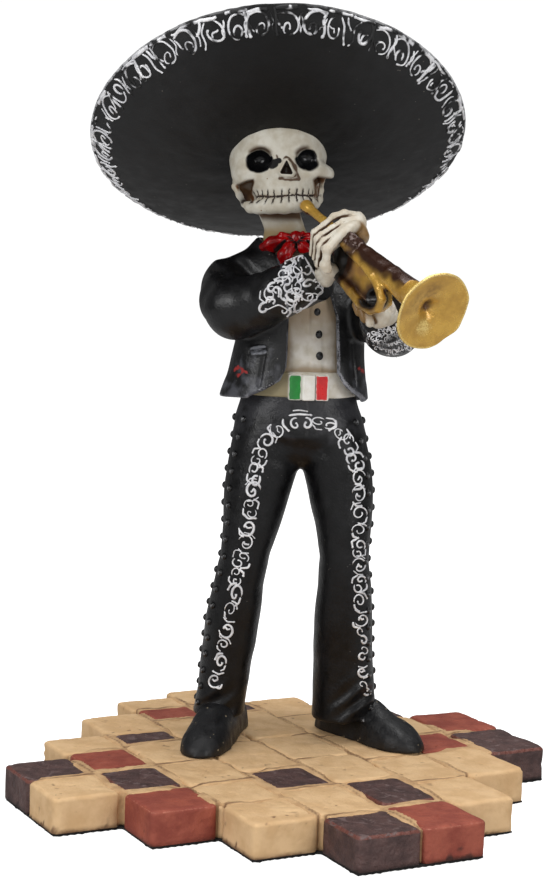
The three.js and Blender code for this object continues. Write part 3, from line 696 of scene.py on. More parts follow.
# The middle mark on the hat is painted shadow: darker along a band through the middle of the hat, front to
# back.
painted("black_felt_hat", (24, 24, 25), (34, 34, 35), (0.5, 0.66),
        marks=[(("middle", 0.0, 0.95), (4, 4, 5), 0.5)],
        wear=((186, 186, 188), dict(Amount=1.0, Start=0.78, Scale=420.0)),
        specks=((110, 106, 98), dict(Scale=620.0, Size=0.09, Rarity=0.6)), bump=0.14, grain=2200.0,
        mottle=260.0, shine_level=0.3)
painted("scroll_silver", (242, 242, 244), (206, 206, 210), (0.3, 0.46),
        marks=[(("silver", 0.35, 0.6), (22, 22, 23), 0.6)], bump=0.08, metal=0.1)
painted("boot_black", (12, 12, 14), (24, 24, 26), (0.36, 0.54),
        wear=((120, 118, 116), dict(Amount=0.6, Start=0.6, Scale=2600.0)),
        specks=((160, 146, 122), dict(Scale=560.0, Size=0.12, Rarity=0.52)), bump=0.24, grain=1300.0,
        shine_level=0.36, relief=0.55)
painted("stud_black", (9, 9, 10), (16, 16, 18), (0.25, 0.4),
        wear=((130, 130, 132), dict(Amount=1.0, Start=0.72, Scale=2200.0)), bump=0.05)
painted("shirt_white", (214, 209, 200), (196, 188, 172), (0.45, 0.6),
        wash=((118, 88, 58), dict(Amount=1.2, Start=0.38, Scale=600.0)), bump=0.12, grain=1500.0,
        marks=[(("khaki", -0.4, 0.8), (142, 131, 100), 0.55), (("stain", 0.0, 1.0), (152, 134, 110), 0.6)])
painted("tie_red", (162, 3, 7), (112, 2, 5), (0.12, 0.24), shine_level=0.24,
        wash=((22, 2, 4), dict(Amount=1.7, Start=0.14)), bump=0.05, coat=0.16)
for name, colour, patches in (("buckle_green", (22, 140, 50), (16, 118, 42)),
                              ("buckle_red", (212, 26, 30), (190, 18, 24))):
    painted(name, colour, patches, (0.25, 0.4), bump=0.05, coat=0.3,
            marks=[(("border", 0.15, 0.4), (222, 220, 212), 0.45)])
painted("buckle_white", (236, 234, 228), (224, 220, 210), (0.4, 0.5), bump=0.05)
# On the gold, the brown mark is painted shade and reflection, and the black mark is painted shade in the hole
# and under the hand.
painted("gold_brass", (212, 168, 74), (184, 140, 56), (0.24, 0.36),
        wash=((84, 52, 24), dict(Amount=1.2, Start=0.42, Scale=800.0)),
        wear=((240, 212, 132), dict(Amount=0.8, Start=0.6)), bump=0.14, grain=1600.0,
        marks=[(("inner", -0.8, 0.5), (164, 122, 68), 0.34), (("brown", -1.0, 2.0), (54, 26, 10), 0.3),
               (("black", -0.2, 0.5), (16, 11, 9), 0.4)], coat=0.3, metal=0.4, mottle=220.0)
painted("tan_brick", (222, 186, 140), (206, 168, 122), (0.7, 0.85),
        wash=((120, 84, 56), dict(Amount=1.3, Start=0.34, Scale=420.0)),
        specks=((112, 92, 62), dict(Scale=300.0, Size=0.06, Rarity=0.6)), bump=0.3, grain=900.0, mottle=160.0,
        relief=0.7)
painted("red_brick", (158, 78, 58), (134, 60, 46), (0.62, 0.8),
        wash=((70, 36, 28), dict(Amount=1.3, Start=0.32, Scale=420.0)),
        wear=((178, 108, 86), dict(Amount=0.7, Start=0.6, Scale=1200.0)), bump=0.4, grain=800.0, mottle=180.0,
        relief=0.8)
# The hewn mark on the dark blocks is lighter strokes on their tops: hewn texture and painted glints.
painted("dark_brick", (88, 62, 58), (64, 43, 41), (0.48, 0.66),
        wash=((32, 22, 22), dict(Amount=1.2, Start=0.32, Scale=420.0)),
        wear=((108, 60, 50), dict(Amount=1.1, Start=0.58, Scale=900.0)), bump=0.8, grain=700.0,
        marks=[(("hewn", 0.2, 0.7), (106, 86, 84), 0.5)], mottle=240.0, relief=1.0)
painted("sand_mortar", (210, 173, 128), (188, 150, 108), (0.8, 0.92), bump=0.35, grain=1300.0,
        wash=((116, 84, 58), dict(Amount=1.0, Start=0.45)), mottle=240.0, relief=0.7,
        marks=[(("crack", -0.1, 0.8), (118, 84, 54), 0.8)])
painted("pad_felt", (22, 21, 20), (30, 28, 27), (0.9, 0.98), bump=0.2, grain=5000.0)
print(f"{len(paints)} paints are mixed")

# %% [markdown]
# ## The paving
#
# The base is one casting that imitates loose paving: blocks of unequal length in rows that end in steps.
# Every block is a stack of rings. A ring follows a rounded rectangle, and the rings go up the side, over a
# worn edge and in to the middle of the top, so there is no open pole. Noise then makes the top lumpy.

# %% Where the blocks lie
BRICK_PITCH, ROW_PITCH, BRICK_JOINT = 18.0, 17.68, 0.4
BASE_HEIGHT, FELT_THICKNESS = 9.8, 0.8
MORTAR_INSET, FELT_INSET, FILLER_WIDTH = 1.4, 0.4, 0.9
WORN_EDGE, EDGE_RING = 1.1, 9
GRID_TURN = 28.0
COLUMNS = [
    (-1, 1.0, [("tan", 1), ("dark", 1)]),
    (0, 0.0, [("red", 1), ("dark", 1.1), ("red", 1.1), ("tan", 0.9)]),
    (1, -1.0, [("tan", 1), ("tan", 1), ("tan", 1.15), ("tan", 1.15), ("dark", 0.65), ("tan", 1.15)]),
    (2, -2.0, [("dark", 1), ("tan", 1.3), ("dark", 1.05), ("tan", 1.55), ("tan", 1.6), ("red", 0.8),
               ("tan", 0.7)]),
    (3, -2.0, [("red", 1.1), ("dark", 1.25), ("tan", 1.3), ("tan", 1.3), ("tan", 1.6), ("dark", 0.85),
               ("tan", 0.9)]),
    (4, -1.2, [("tan", 1.2), ("tan", 1.3), ("tan", 1.4), ("tan", 1.4), ("tan", 1.2)]),
    (5, 0.0, [("tan", 1.3), ("red", 1.05), ("tan", 1.05), ("dark", 1)]),
    (6, 0.9, [("dark", 1.3), ("red", 1.2)]),
]


def paving(a, b):
    """A place on the paving's grid, a across and b back, turned by the grid's angle."""
    turned = turn_about(2, GRID_TURN)[:2, :2]
    return np.stack(np.broadcast_arrays(a * BRICK_PITCH, b * ROW_PITCH), axis=-1) @ turned.T


def column_end(column):
    """Where a column of blocks ends: its start plus the lengths of its blocks."""
    return column[1] + sum(length for _, length in column[2])


CORNERS = np.array([paving(a, b) for column in COLUMNS for a in (column[0], column[0] + 1)
                    for b in (column[1], column_end(column))])
PAVING_MIDDLE = (CORNERS.min(axis=0) + CORNERS.max(axis=0)) / 2


# %% The blocks
def unit_ring(count, power=18):
    """Points round a square with small round corners, where |a|^power + |b|^power = 1."""
    angle = round_angles(count, 0.5)
    c, s = np.cos(angle), np.sin(angle)
    reach = (np.abs(c) ** power + np.abs(s) ** power) ** (-1 / power)
    return c * reach, s * reach


def block(across, start, length, seed, drawn_in, around=72):
    """One block: rings at a share of its half size and a height, then noise that pushes its sides and top
    out from a place inside it. Its top is up to 0.5 mm low. EDGE_RING is the ring on the worn edge."""
    half_a, half_b = [side / 2 - BRICK_JOINT / 2 - drawn_in for side in (BRICK_PITCH, length * ROW_PITCH)]
    top, edge = BASE_HEIGHT - 0.5 * HASHES[seed % 97] ** 2, WORN_EDGE
    side = np.linspace(FELT_THICKNESS, top - edge, 7)
    turn = np.linspace(0, np.pi / 2, 6)[1:]
    inner = np.linspace(1, 0, 12)[1:] ** 0.9
    inset = np.concatenate([np.zeros(len(side) + 1), edge * (1 - np.cos(turn)), np.full(len(inner), edge)])
    height = np.concatenate([side[:1], side, top - edge + edge * np.sin(turn), np.full(len(inner), top)])
    shrink = np.concatenate([[0], np.ones(len(side) + len(turn)), inner])
    a, b = unit_ring(around)
    wide = (half_a - inset)[:, None] * shrink[:, None] * a
    deep = (half_b - inset)[:, None] * shrink[:, None] * b
    middle = paving(across + 0.5, start + length / 2) - PAVING_MIDDLE
    flat = np.stack([wide, deep], axis=-1) @ turn_about(2, GRID_TURN)[:2, :2].T + middle
    points = np.concatenate([flat, np.broadcast_to(height[:, None, None], (*flat.shape[:2], 1))], axis=-1)
    points = points.reshape(-1, 3)
    high = np.clip((points[:, 2] - FELT_THICKNESS) / 3, 0, 1)
    worn = rough(points, 6.0, 4, seed) * 0.34 + np.minimum(noise(points, 1.5, seed) + 0.45, 0) * 0.8
    worn = worn - 0.5 * np.clip(noise(points, 3.0, seed + 9) - 0.45, 0, 1) * np.clip(points[:, 2] - 7, 0, 1)
    pull = (points - np.array([*middle, 4.0])) * [1, 1, 1.6]
    pull /= np.linalg.norm(pull, axis=1)[:, None] + 1e-9
    points = points + pull * (worn * high - 0.12)[:, None]
    points[:, 2] = np.clip(points[:, 2], FELT_THICKNESS, BASE_HEIGHT)
    rows = len(height)
    faces = grid_faces(rows, around, wrap_columns=True)
    hollow = np.clip(-worn * 1.3 + np.clip(1 - (points[:, 2] - FELT_THICKNESS) / 1.6, 0, 1) * 0.5, 0, 1)
    edge_mark = np.exp(-((np.repeat(np.arange(rows), around) - EDGE_RING) / 2.0) ** 2)
    return points, faces, hollow, edge_mark


def lay_blocks():
    """The coloured blocks that lie inside the paving are a little smaller, with tan filler round them."""
    made = {"tan": [], "red": [], "dark": []}
    for across, start, bricks in COLUMNS:
        for number, (colour, length) in enumerate(bricks):
            inside = colour != "tan" and 0 < number < len(bricks) - 1
            drawn_in = FILLER_WIDTH if inside else 0.0
            made[colour].append(block(across, start, length, across * 7 + number, drawn_in))
            start += length
    return made


for colour, parts in lay_blocks().items():
    points, faces, hollow, edge = joined(parts)
    # Lighter strokes on the tops of the blocks, painted as hewn texture with its glints; only the dark blocks'
    # paint reads them.
    streaks = np.abs(noise(points @ turn_about(2, -20) * [1, 2.6, 1], 3.2, 67))
    strokes = 1 - streaks * 3.6 - (points[:, 2] < 8.6)
    hewn = 1 - strokes * (noise(points, 1.1, 68) > -0.1)
    piece = make_piece(f"{colour}_blocks", points, faces, paints[f"{colour}_brick"], "painted_brick",
                       welded=True, hollow=hollow, edge=edge, hewn=hewn)
    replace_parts(piece, "brick_base")


# %% The mortar between the blocks
def outline_distance(points, corners):
    """The distance to a closed outline in the plane, negative inside it by the crossing rule."""
    inside = np.zeros(len(points), bool)
    nearest = np.full(len(points), np.inf)
    for i in range(len(corners)):
        a, b = corners[i - 1], corners[i]
        line = b - a
        share = np.clip(((points - a) @ line) / max(line @ line, 1e-9), 0, 1)
        nearest = np.minimum(nearest, ((points - a - share[:, None] * line) ** 2).sum(axis=1))
        crosses = (a[1] > points[:, 1]) != (b[1] > points[:, 1])
        height = b[1] - a[1] if b[1] != a[1] else 1e-9
        inside ^= crosses & (points[:, 0] < (b[0] - a[0]) * (points[:, 1] - a[1]) / height + a[0])
    return np.where(inside, -1, 1) * np.sqrt(nearest)


FRONT_EDGE = [paving(a, column[1]) for column in COLUMNS for a in (column[0], column[0] + 1)]
BACK_EDGE = [paving(a, column_end(column)) for column in COLUMNS for a in (column[0], column[0] + 1)]
BASE_OUTLINE = np.array(FRONT_EDGE + BACK_EDGE[::-1]) - PAVING_MIDDLE


def inside_blocks(points):
    """1 where a point lies under the flat top of a block and 0 in the joints, in the grid's own axes, and
    how far the point is from the middle of the nearest joint."""
    flat = (points[:, :2] + PAVING_MIDDLE) @ turn_about(2, GRID_TURN)[:2, :2]
    inside, cell = np.zeros(len(points)), np.full(len(points), -9.0)
    for across, start, bricks in COLUMNS:
        for colour, length in bricks:
            a = BRICK_PITCH / 2 - np.abs(flat[:, 0] - (across + 0.5) * BRICK_PITCH)
            b = length * ROW_PITCH / 2 - np.abs(flat[:, 1] - (start + length / 2) * ROW_PITCH)
            cell = np.maximum(cell, np.minimum(a, b))
            margin = 1.0 if colour == "tan" else 1.7
            inside = np.maximum(inside, np.clip((np.minimum(a, b) - margin) / 0.7, 0, 1))
            start += length
    return inside, cell


def mortar_field(points):
    """The paving's outline drawn in. The sand fills the joints almost up to the top, with shallow dips,
    and lies deeper under the blocks."""
    rim = outline_distance(points[:, :2], BASE_OUTLINE) + MORTAR_INSET
    flat = points * [1, 1, 0]
    top = BASE_HEIGHT - 0.15 - 1.8 * inside_blocks(points)[0] + 0.15 * noise(flat, 2.3, 5)
    top = top - 1.4 * np.clip(noise(flat, 8.0, 65) - 0.05, 0, 0.6)
    return np.maximum(rim, np.maximum(points[:, 2] - top, FELT_THICKNESS - points[:, 2]))


points, faces, _, hollow = cast(mortar_field, [-74, -75, -0.6], [74, 75, 11], 0.75)
crack = np.abs(inside_blocks(points)[1]) + 1.2 * np.clip(noise(points * [1, 1, 0], 8.0, 69) + 0.15, 0, 1)
piece = make_piece("mortar", points, faces, paints["sand_mortar"], "painted_brick", hollow=hollow,
                   edge=hollow * 0, crack=crack + 0.2 * noise(points, 2.4, 70))
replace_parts(piece, "brick_base")


# %% The felt under the base
def felt_field(points):
    """A slab: the largest of how far a point is past its outline, its top and its underside."""
    rim = outline_distance(points[:, :2], BASE_OUTLINE) + FELT_INSET
    return np.maximum(rim, np.maximum(points[:, 2] - FELT_THICKNESS, -points[:, 2]))


points, faces, _, hollow = cast(felt_field, [-74, -75, -1.2], [74, 75, 2.4], 0.85)
points[:, 2] = np.clip(points[:, 2], 0, FELT_THICKNESS)
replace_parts(make_piece("felt", points, faces, paints["pad_felt"], "felt", hollow=hollow, edge=hollow),
            "felt_pad")

# %% [markdown]
# ## The skull
#
# The skull is modelled as bone is: a round brain case, a face block, two cheekbones with a hollow under
# each, and a jaw. The eye and nose openings are cut out of it with rounded edges. A distance field suits
# it best, since all of these run into each other.

# %% The skull's field
LEFT_SOCKET, RIGHT_SOCKET = at(-11.95, -2.6, 156.1), at(0.95, -2.8, 156.9)
JAW_MIDDLE = at(-4.9, 5.2, 147)


def sockets(points, grow=0.0):
    """Two eggs lying on their side, each leaning a little towards the nose below."""
    made = [egg(points, centre, np.array(radii) + grow, turn_about(1, lean)) for centre, radii, lean in
            ((LEFT_SOCKET, (3.4, 4.6, 3.0), -16), (RIGHT_SOCKET, (3.35, 4.6, 2.9), 10))]
    return np.minimum(*made)


def nose_opening(points, grow=0.0):
    """A triangle with round corners, narrow above: rods from corner to corner, seen from the front."""
    flat = points * FRONT_ON
    top, left, right = at(-4.75, 0, 155.9), at(-5.85, 0, 153.1), at(-3.55, 0, 153.05)
    sides = [rod(flat, top, left, 0.1, 0.35), rod(flat, top, right, 0.1, 0.35),
             rod(flat, left, right, 0.35, 0.35),
             rod(flat, at(-4.75, 0, 153.5), at(-4.75, 0, 154.5), 0.75, 0.5)]
    return np.maximum(np.minimum.reduce(sides) - grow, points[:, 1] - 1.5)


TOOTH_X = np.array([-13.0, -12.2, -11.0, -9.5, -7.9, -5.75, -3.8, -1.8, -0.1, 1.5, 2.8, 3.6])
TOOTH_TURNS = np.arcsin(np.clip((TOOTH_X + 4.9) / 8.6, -1, 1))


def jaw_places(points):
    """For each point its turn round the jaw as a tooth number, its height over the bite in mm, and 1 on the
    front of the jaw, fading to 0 at its sides."""
    q = points - JAW_MIDDLE
    turn = np.arctan2(q[:, 0], -q[:, 1])
    tooth = np.interp(turn, TOOTH_TURNS, np.arange(len(TOOTH_X)))
    bite = points[:, 2] - (at(0, 0, 146.5)[2] + 0.068 * (points[:, 0] + 13) + 0.12 * np.sin(turn * 5))
    front = np.clip((1.38 - np.abs(turn + 0.02)) / 0.12, 0, 1) * (q[:, 1] < 2)
    return tooth, bite, front


def tooth_grooves(points):
    """How deep the gaps are: narrow bells at whole tooth numbers and along the bite."""
    tooth, bite, front = jaw_places(points)
    gap = np.abs(tooth - np.round(tooth)) * 1.75
    deep = 0.34 * np.exp(-(gap / 0.35) ** 2 - (bite / 1.8) ** 4) + 0.4 * np.exp(-(bite / 0.35) ** 2)
    return np.clip(deep, 0, 0.5) * front


CHEEK_HOLLOWS = [np.array([(-21, 148.4), (-18.4, 149.1), (-16.6, 149.9), (-14.8, 150.7), (-13.2, 151.0),
                           (-13.0, 150.4), (-13.4, 148.9), (-13.9, 146.3), (-13.5, 144.5), (-13.2, 143.8),
                           (-15, 143.4), (-21, 146)]),
                 np.array([(2.4, 151.5), (3.5, 152.3), (5.2, 152.2), (10.5, 151.8), (10.5, 146), (4.4, 146.3),
                           (3.3, 146.8), (2.8, 149)])]
JAW_BONE = [[-17.4, 12, 152.6, 1.1], [-18.0, 5.0, 149.3, 0.75], [-16.8, 3.4, 147.0, 0.75],
            [-15.4, 2.2, 144.9, 0.9], [-13.7, 0.8, 143.9, 1.4], [-11.6, -0.4, 144.1, 1.8],
            [-8.6, -1.2, 144.5, 2.1], [-4.9, -1.8, 144.8, 2.2], [-1.6, -1.2, 145.1, 2.1],
            [1.2, 0.4, 145.4, 1.8], [3.0, 1.8, 145.5, 1.3], [4.2, 2.8, 146.4, 0.75], [4.5, 3.6, 149.0, 0.6],
            [4.7, 6, 151.6, 0.6], [4.8, 10, 153, 0.9]]


def cheek_hollows(points):
    """The spaces under the cheekbones, as outlines seen from the front that go back to the jaw's hinge."""
    both = np.minimum(*[outline_distance(front_plane(points), corners) for corners in CHEEK_HOLLOWS])
    return np.maximum(both, points[:, 1] - 7.0)


def skull_field(points):
    """Eggs for the brain case and the cheekbones, slices for the face, the gums and the neck, and rods for
    the jaw, joined softly, less the cheek hollows, the sockets, the nose and the gaps of the teeth."""
    bone = egg(points, at(-7.1, 12, 158.5), (12.9, 15, 13))
    face = slices(points,
                  [[-4.9, 5.2, 146.4, 7.4, 7.4], [-5.3, 5.6, 150, 7.8, 8.0], [-6.0, 6.3, 154, 9.4, 8.8],
                   [-6.4, 6.7, 158, 10.8, 9.4], [-6.5, 7.5, 163, 9.6, 8.8]], 2.3, end=1.5)
    bone = blend_in(bone, face, 3.0)
    for centre, radii, lean in (((-13.5, 4.6, 152.6), (5.6, 6.4, 4.6), 6),
                                ((1.9, 4.2, 153.4), (4.8, 5.6, 3.0), -4),
                                ((-15.6, 8.0, 156.0), (3.6, 7.0, 5.0), 0)):
        bone = blend_in(bone, egg(points, at(*centre), radii, turn_about(1, lean)), 2.0)
    knob = chain(points, [[3.8, 2.2, 154.2, 1.7], [5.9, 3.0, 153.2, 1.6], [6.2, 7.4, 153.6, 1.0]], 1.0)
    bone = blend_in(bone, knob, 1.5)
    bone = cut_out(bone, cheek_hollows(points), 0.6)
    # Walls close the backs of the cheek hollows and are painted dark as their shade.
    for wall in ([[-17.2, 9.6, 150.4, 1.6], [-15.4, 8.0, 147, 1.8], [-13.6, 6.6, 144.9, 1.5]],
                 [[3.2, 9.4, 151.4, 1.4], [3.2, 8.2, 147.6, 1.4]]):
        bone = blend_in(bone, chain(points, wall, 0.5), 0.5)
    jaw = chain(points, JAW_BONE, 0.8)
    bone = blend_in(bone, jaw, 0.6)
    gum = slices(points, [[-4.9, 5.0, 143.7, 7.0, 6.9], [-4.9, 4.9, 146.0, 7.9, 7.9],
                          [-4.9, 4.9, 149, 8.0, 8.1], [-5.0, 5.4, 151.6, 7.6, 7.9]], 2.2, end=1.0)
    bone = blend_in(bone, gum, 0.8)
    neck = slices(points,
                  [[-1.6, 15, 130.6, 8.4, 7.4], [-3.0, 14, 134.2, 7.6, 6.6], [-4.5, 13, 138.4, 5.5, 5.3],
                   [-6.2, 13, 142.6, 5.6, 5.3], [-6.0, 13, 150, 5.2, 5.2]], end=0.6)
    bone = blend_in(bone, neck, 0.5)
    rim = np.abs(nose_opening(points)) - 0.45
    bone = np.where(points[:, 1] < 0, bone - 0.5 * np.clip(1 - np.maximum(rim, 0) / 0.45, 0, 1), bone)
    bone = cut_out(bone, sockets(points), 0.9)
    bone = cut_out(bone, nose_opening(points), 0.3)
    return bone + tooth_grooves(points) + 0.06 * noise(points, 2.6, 3)


def near_line(points, rows):
    """The distance to a painted line through rows of x and z on the front of the face."""
    places = [at(x, 0, z) for x, z in rows]
    return np.where(points[:, 1] < 3, front_lines(points, zip(places, places[1:])), FAR)


def make_skull():
    """Casts the skull and stores how far each point is from its painted marks."""
    points, faces, _, hollow = cast(skull_field, at(-22, -7, 129), at(10, 28.5, 173.5), 0.28)
    tooth, bite, front = jaw_places(points)
    brown = np.minimum.reduce([near_line(points, rows) for rows in (
        [(-3.9, 156.4), (-2.6, 155.0), (-1.9, 153.0), (-1.2, 151.6)],
        [(-6.4, 151.5), (-4.0, 151.2), (-1.4, 151.4)],
        [(-7.4, 157.4), (-7.1, 156.6)], [(-13.6, 148.2), (-14.2, 146.4), (-13.2, 145.2)],
        [(3.4, 149.6), (3.6, 146.4)])])
    black = np.minimum(near_line(points, [(-8.4, 155.5), (-6.8, 156.0)]),
                       near_line(points, [(-8.6, 154.6), (-7.6, 155.2)])) + 0.3 * noise(points, 0.8, 46)
    z = points[:, 2] - SOLE
    # Painted shade: the top of each socket is brown, as under the brow, and the black is kept below it.
    above = np.clip((points[:, 2] - at(0, 0, 156.6)[2]) / 1.6, 0, 1)
    above = above * np.clip((0.4 - points[:, 1]) / 1.4, 0, 1)
    glow = sockets(points) + 1.3 * (1 - above)
    rim = np.where(points[:, 1] < 1, np.abs(nose_opening(points) - 1.0) + 0.4 * (points[:, 0] < -6.0), FAR)
    made = make_piece("skull", points, faces, paints["skull_bone"], "painted_figure", hollow=hollow,
                      tooth=tooth, bite=bite, front=front,
                      socket=sockets(points) + 0.9 * above + 0.12 * noise(points, 0.9, 45),
                      nose=nose_opening(points, 0.12),
                      brown_line=np.minimum(brown, rim + 0.15) + 0.35 * (rough(points, 1.5, 2, 44) + 0.2),
                      black_line=black, neck=np.where(points[:, 1] > 6.5, z - 138.4, FAR)
                      + noise(points, 3, 41), glow=glow,
                      # painted shade in the cheek hollows, clear of the jaw
                      pit=np.maximum(cheek_hollows(points), 0.4 - chain(points, JAW_BONE, 0.8)),
                      chin_shadow=np.where(points[:, 1] > 4.0, np.abs(z - 142.6), FAR)
                      + np.clip(points[:, 1] - 11, 0, 9))
    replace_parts(made, "skeleton_figure")
    return made


skull = make_skull()
print(f"the skull has {len(skull.data.polygons)} faces")

# %% [markdown]
# ## The clothes
#
# Trousers, shirt and jacket are solid castings as well. Level slices give them their outline, as a tailor's
# measurements would, and the sleeves are rods of changing thickness. Creases are added to the field where
# real cloth would bunch: at the elbows and the shoulder, behind the knees, at the crotch and above the
# shoes. Left and right are the viewer's for the legs, the boots, the buckle, the cheeks and the eyes, and
# the figure's own for the arms, the hands and what is on the jacket.

# %% The trousers
LEFT_LEG = [[-18.3, 18.2, 6.2, 7.2, 9.8], [-18.2, 18.2, 7.5, 6.9, 9.6], [-17.5, 17.6, 13, 6.8, 9],
            [-16.4, 16.4, 23, 7.1, 8.8], [-15.2, 14.6, 33, 7.4, 8.8], [-13.7, 12.6, 43, 6.9, 8.2],
            [-12.3, 11.5, 51, 6.6, 7.9], [-10.6, 12.4, 60, 7.9, 9.2], [-9.3, 13.4, 69.5, 9.1, 10.2],
            [-8.1, 14, 76, 9.8, 10.8], [-7.8, 14, 82.5, 9, 10.6], [-6, 14.2, 91, 7, 8.5]]
RIGHT_LEG = [[16.1, 18.8, 5.6, 8.8, 9.9], [16.1, 18.8, 7, 8.7, 9.8], [15.9, 18.3, 13, 8.4, 9],
             [15.4, 17, 23, 8, 8.8], [15.1, 15, 33, 7.9, 8.8], [15, 12.8, 43, 7.3, 8.2],
             [14.5, 11.6, 51, 6.6, 7.9], [13.8, 12.6, 60, 7.7, 9.2], [12.6, 13.6, 69.5, 8.9, 10.2],
             [11.5, 14, 76, 9.4, 10.8], [10.8, 14, 82.5, 8.4, 10.6], [8, 14.2, 91, 7, 8.5]]
HIPS = [[1.7, 14, 75, 3.4, 5], [1.5, 14, 77.4, 8, 7.6], [1.3, 14.2, 80.5, 14.6, 9.8],
        [1.2, 14.4, 84, 17.7, 11.8], [0.9, 14.6, 88, 17.4, 11.6], [0.8, 14.7, 92, 16, 11.2],
        [0.7, 14.8, 96, 15, 10.9]]


def creases(points, centre, along, reach, pitch, depth, lean=0.0):
    """Ripples across a limb: a wave along a direction, faded out with the distance from a centre."""
    q = points - centre
    along = np.array(along, float) / np.linalg.norm(along)
    run = q @ along + lean * q[:, 2] + 0.5 * noise(points, 5.0, 9)
    return depth * np.sin(2 * np.pi * run / pitch) * np.exp(-((q ** 2).sum(axis=1) / reach ** 2) ** 1.5)


def trousers_field(points):
    """Two legs and the hips as level slices, joined softly, with creases, noise, and the fly as a groove."""
    legs = blend_in(slices(points, LEFT_LEG, 2.1, 0.06), slices(points, RIGHT_LEG, 2.1, 0.06), 0.8)
    cloth = blend_in(legs, slices(points, HIPS, 2.1, 0.06), 2.0)
    for centre, along, reach, pitch, depth in (
            (at(-12, 20, 52), (0.3, 0, 1), 8, 4.6, 0.35), (at(14.5, 20, 52), (-0.3, 0, 1), 8, 4.6, 0.35),
            (at(-19, 9, 10), (-0.7, 0, 1), 6, 4.6, 0.25), (at(20, 9, 11), (-0.9, 0.3, 1), 7, 4.2, 0.5),
            (at(1, 3, 80), (0.2, 0, 1), 7, 5.0, 0.2)):
        cloth = cloth + creases(points, centre, along, reach, pitch, depth)
    fly = np.exp(-((points[:, 0] - 3.4) / 0.35) ** 2) * (points[:, 1] < 8) * (points[:, 2] > at(0, 0, 82)[2])
    return cloth + 0.22 * fly + 0.16 * noise(points, 5.5, 4) + 0.25 * noise(points, 11.0, 19)


def make_solid(name, shape, low, high, step, paint, slot="painted_figure", node="skeleton_figure",
               edge_reach=0.9, **values):
    """Casts a field and dresses it with its hollows and its edges."""
    points, faces, normals, hollow = cast(shape, low, high, step)
    inside = sum(1 - np.clip(-shape(points - normals * r) / r, 0, 1)
                 for r in (edge_reach, edge_reach * 2)) / 2
    made = make_piece(name, points, faces, paints[paint], slot, hollow=hollow, edge=inside,
                      **{key: rule(points) for key, rule in values.items()})
    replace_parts(made, node)


# worn: grey wear and painted sheen, growing towards the hips
make_solid("trousers", trousers_field, at(-28, 2, 3), at(28, 31, 99), 0.5, "black_cloth",
           worn=lambda p: (at(0, 0, 86)[2] - p[:, 2]) / 8 + 1.3 * rough(p, 2.6, 3, 63) + 0.5)

# %% The shirt and the sash
CHEST = [[0.7, 14.8, 93, 14.8, 10.4], [0.5, 15, 108, 14.2, 10.3], [0.4, 15.2, 116, 15, 10.8],
         [0.2, 15.4, 124, 15.5, 11], [-0.6, 15.4, 130, 12, 9], [-1.6, 15, 135, 7.6, 6.6]]


def shirt_field(points):
    """The chest, with the placket as a low step that follows its front, and soft folds beside it."""
    body = slices(points, CHEST, 2.1)
    line = 5.0 - 0.045 * (points[:, 2] - at(0, 0, 105)[2])
    strip = np.clip(1.6 - np.abs(points[:, 0] - line), 0, 0.35) / 0.35 * (points[:, 1] < 12)
    seam = np.exp(-((points[:, 0] - line + 1.9) / 0.25) ** 2) * (points[:, 1] < 12)
    return body - 0.22 * strip + 0.22 * seam + 0.2 * noise(points * [1, 1, 0.45], 3.6, 6)


def shirt_edge(points):
    """How far a point of the shirt lies inside the jacket's opening, where brown wash gathered."""
    x, z = points[:, 0], points[:, 2] - SOLE
    return np.minimum(x + 2.9, np.minimum(10.8 - x, z - 101.6)) / 2.2


def sash_field(points):
    """Two level slices round the waist, with level wrinkles of stretched noise."""
    band = slices(points, [[0.7, 14.8, 94.3, 15.6, 11.6], [0.6, 14.9, 101.2, 15.2, 11.3]], 2.1, end=0.7)
    return band + 0.12 * noise(points * [0.5, 0.5, 2], 3.0, 7)


make_solid("shirt", shirt_field, at(-16, 3, 92), at(17, 27, 136.5), 0.55, "shirt_white", khaki=nowhere,
           stain=lambda p: np.minimum((at(0, 0, 117.5)[2] - p[:, 2]) / 11, shirt_edge(p))
           + 0.35 * rough(p, 3.0, 3, 51))
make_solid("sash", sash_field, at(-16.5, 2, 93), at(17.5, 27.5, 102.5), 0.4, "shirt_white",
           khaki=lambda p: p[:, 0] + 2.4, stain=lambda p: 1.4 + 0.9 * noise(p, 3.0, 52))

# %% The buckle and the buttons
def along_front(x, y, z, half, turn=12.0, edge=0.45):
    """A rounded plate that stands on the front of the body, turned with it."""
    return lambda points: slab_box(points, at(x, y, z), half, turn_about(2, turn), edge)


for name, paint, x, y in (("buckle_left", "buckle_green", -0.5, 3.7),
                          ("buckle_middle", "buckle_white", 3.0, 3.4),
                          ("buckle_right", "buckle_red", 6.6, 4.1)):
    plate = along_front(x, y, 97.2, (1.75, 1.1, 3.4))
    make_solid(name, plate, at(x - 2.6, y - 2.4, 93.4), at(x + 2.6, y + 2.4, 101.2), 0.25, paint,
               border=lambda p: -slab_box(p * FRONT_ON, at(x, 0, 97.2) * FRONT_ON, (1.75, 9, 3.4), None, 0.3)
               + 0.12 * noise(p, 0.8, 53))


def buttons_field(points):
    """The nearest of three small eggs."""
    spots = [at(4.6, 4.9, 117.2), at(5.3, 5.1, 111.3), at(5.7, 5.1, 105.6)]
    return np.minimum.reduce([egg(points, spot, (0.98, 0.8, 1.15)) for spot in spots])


make_solid("buttons", buttons_field, at(3.2, 3.6, 104.2), at(7.1, 6.6, 118.6), 0.2, "stud_black")

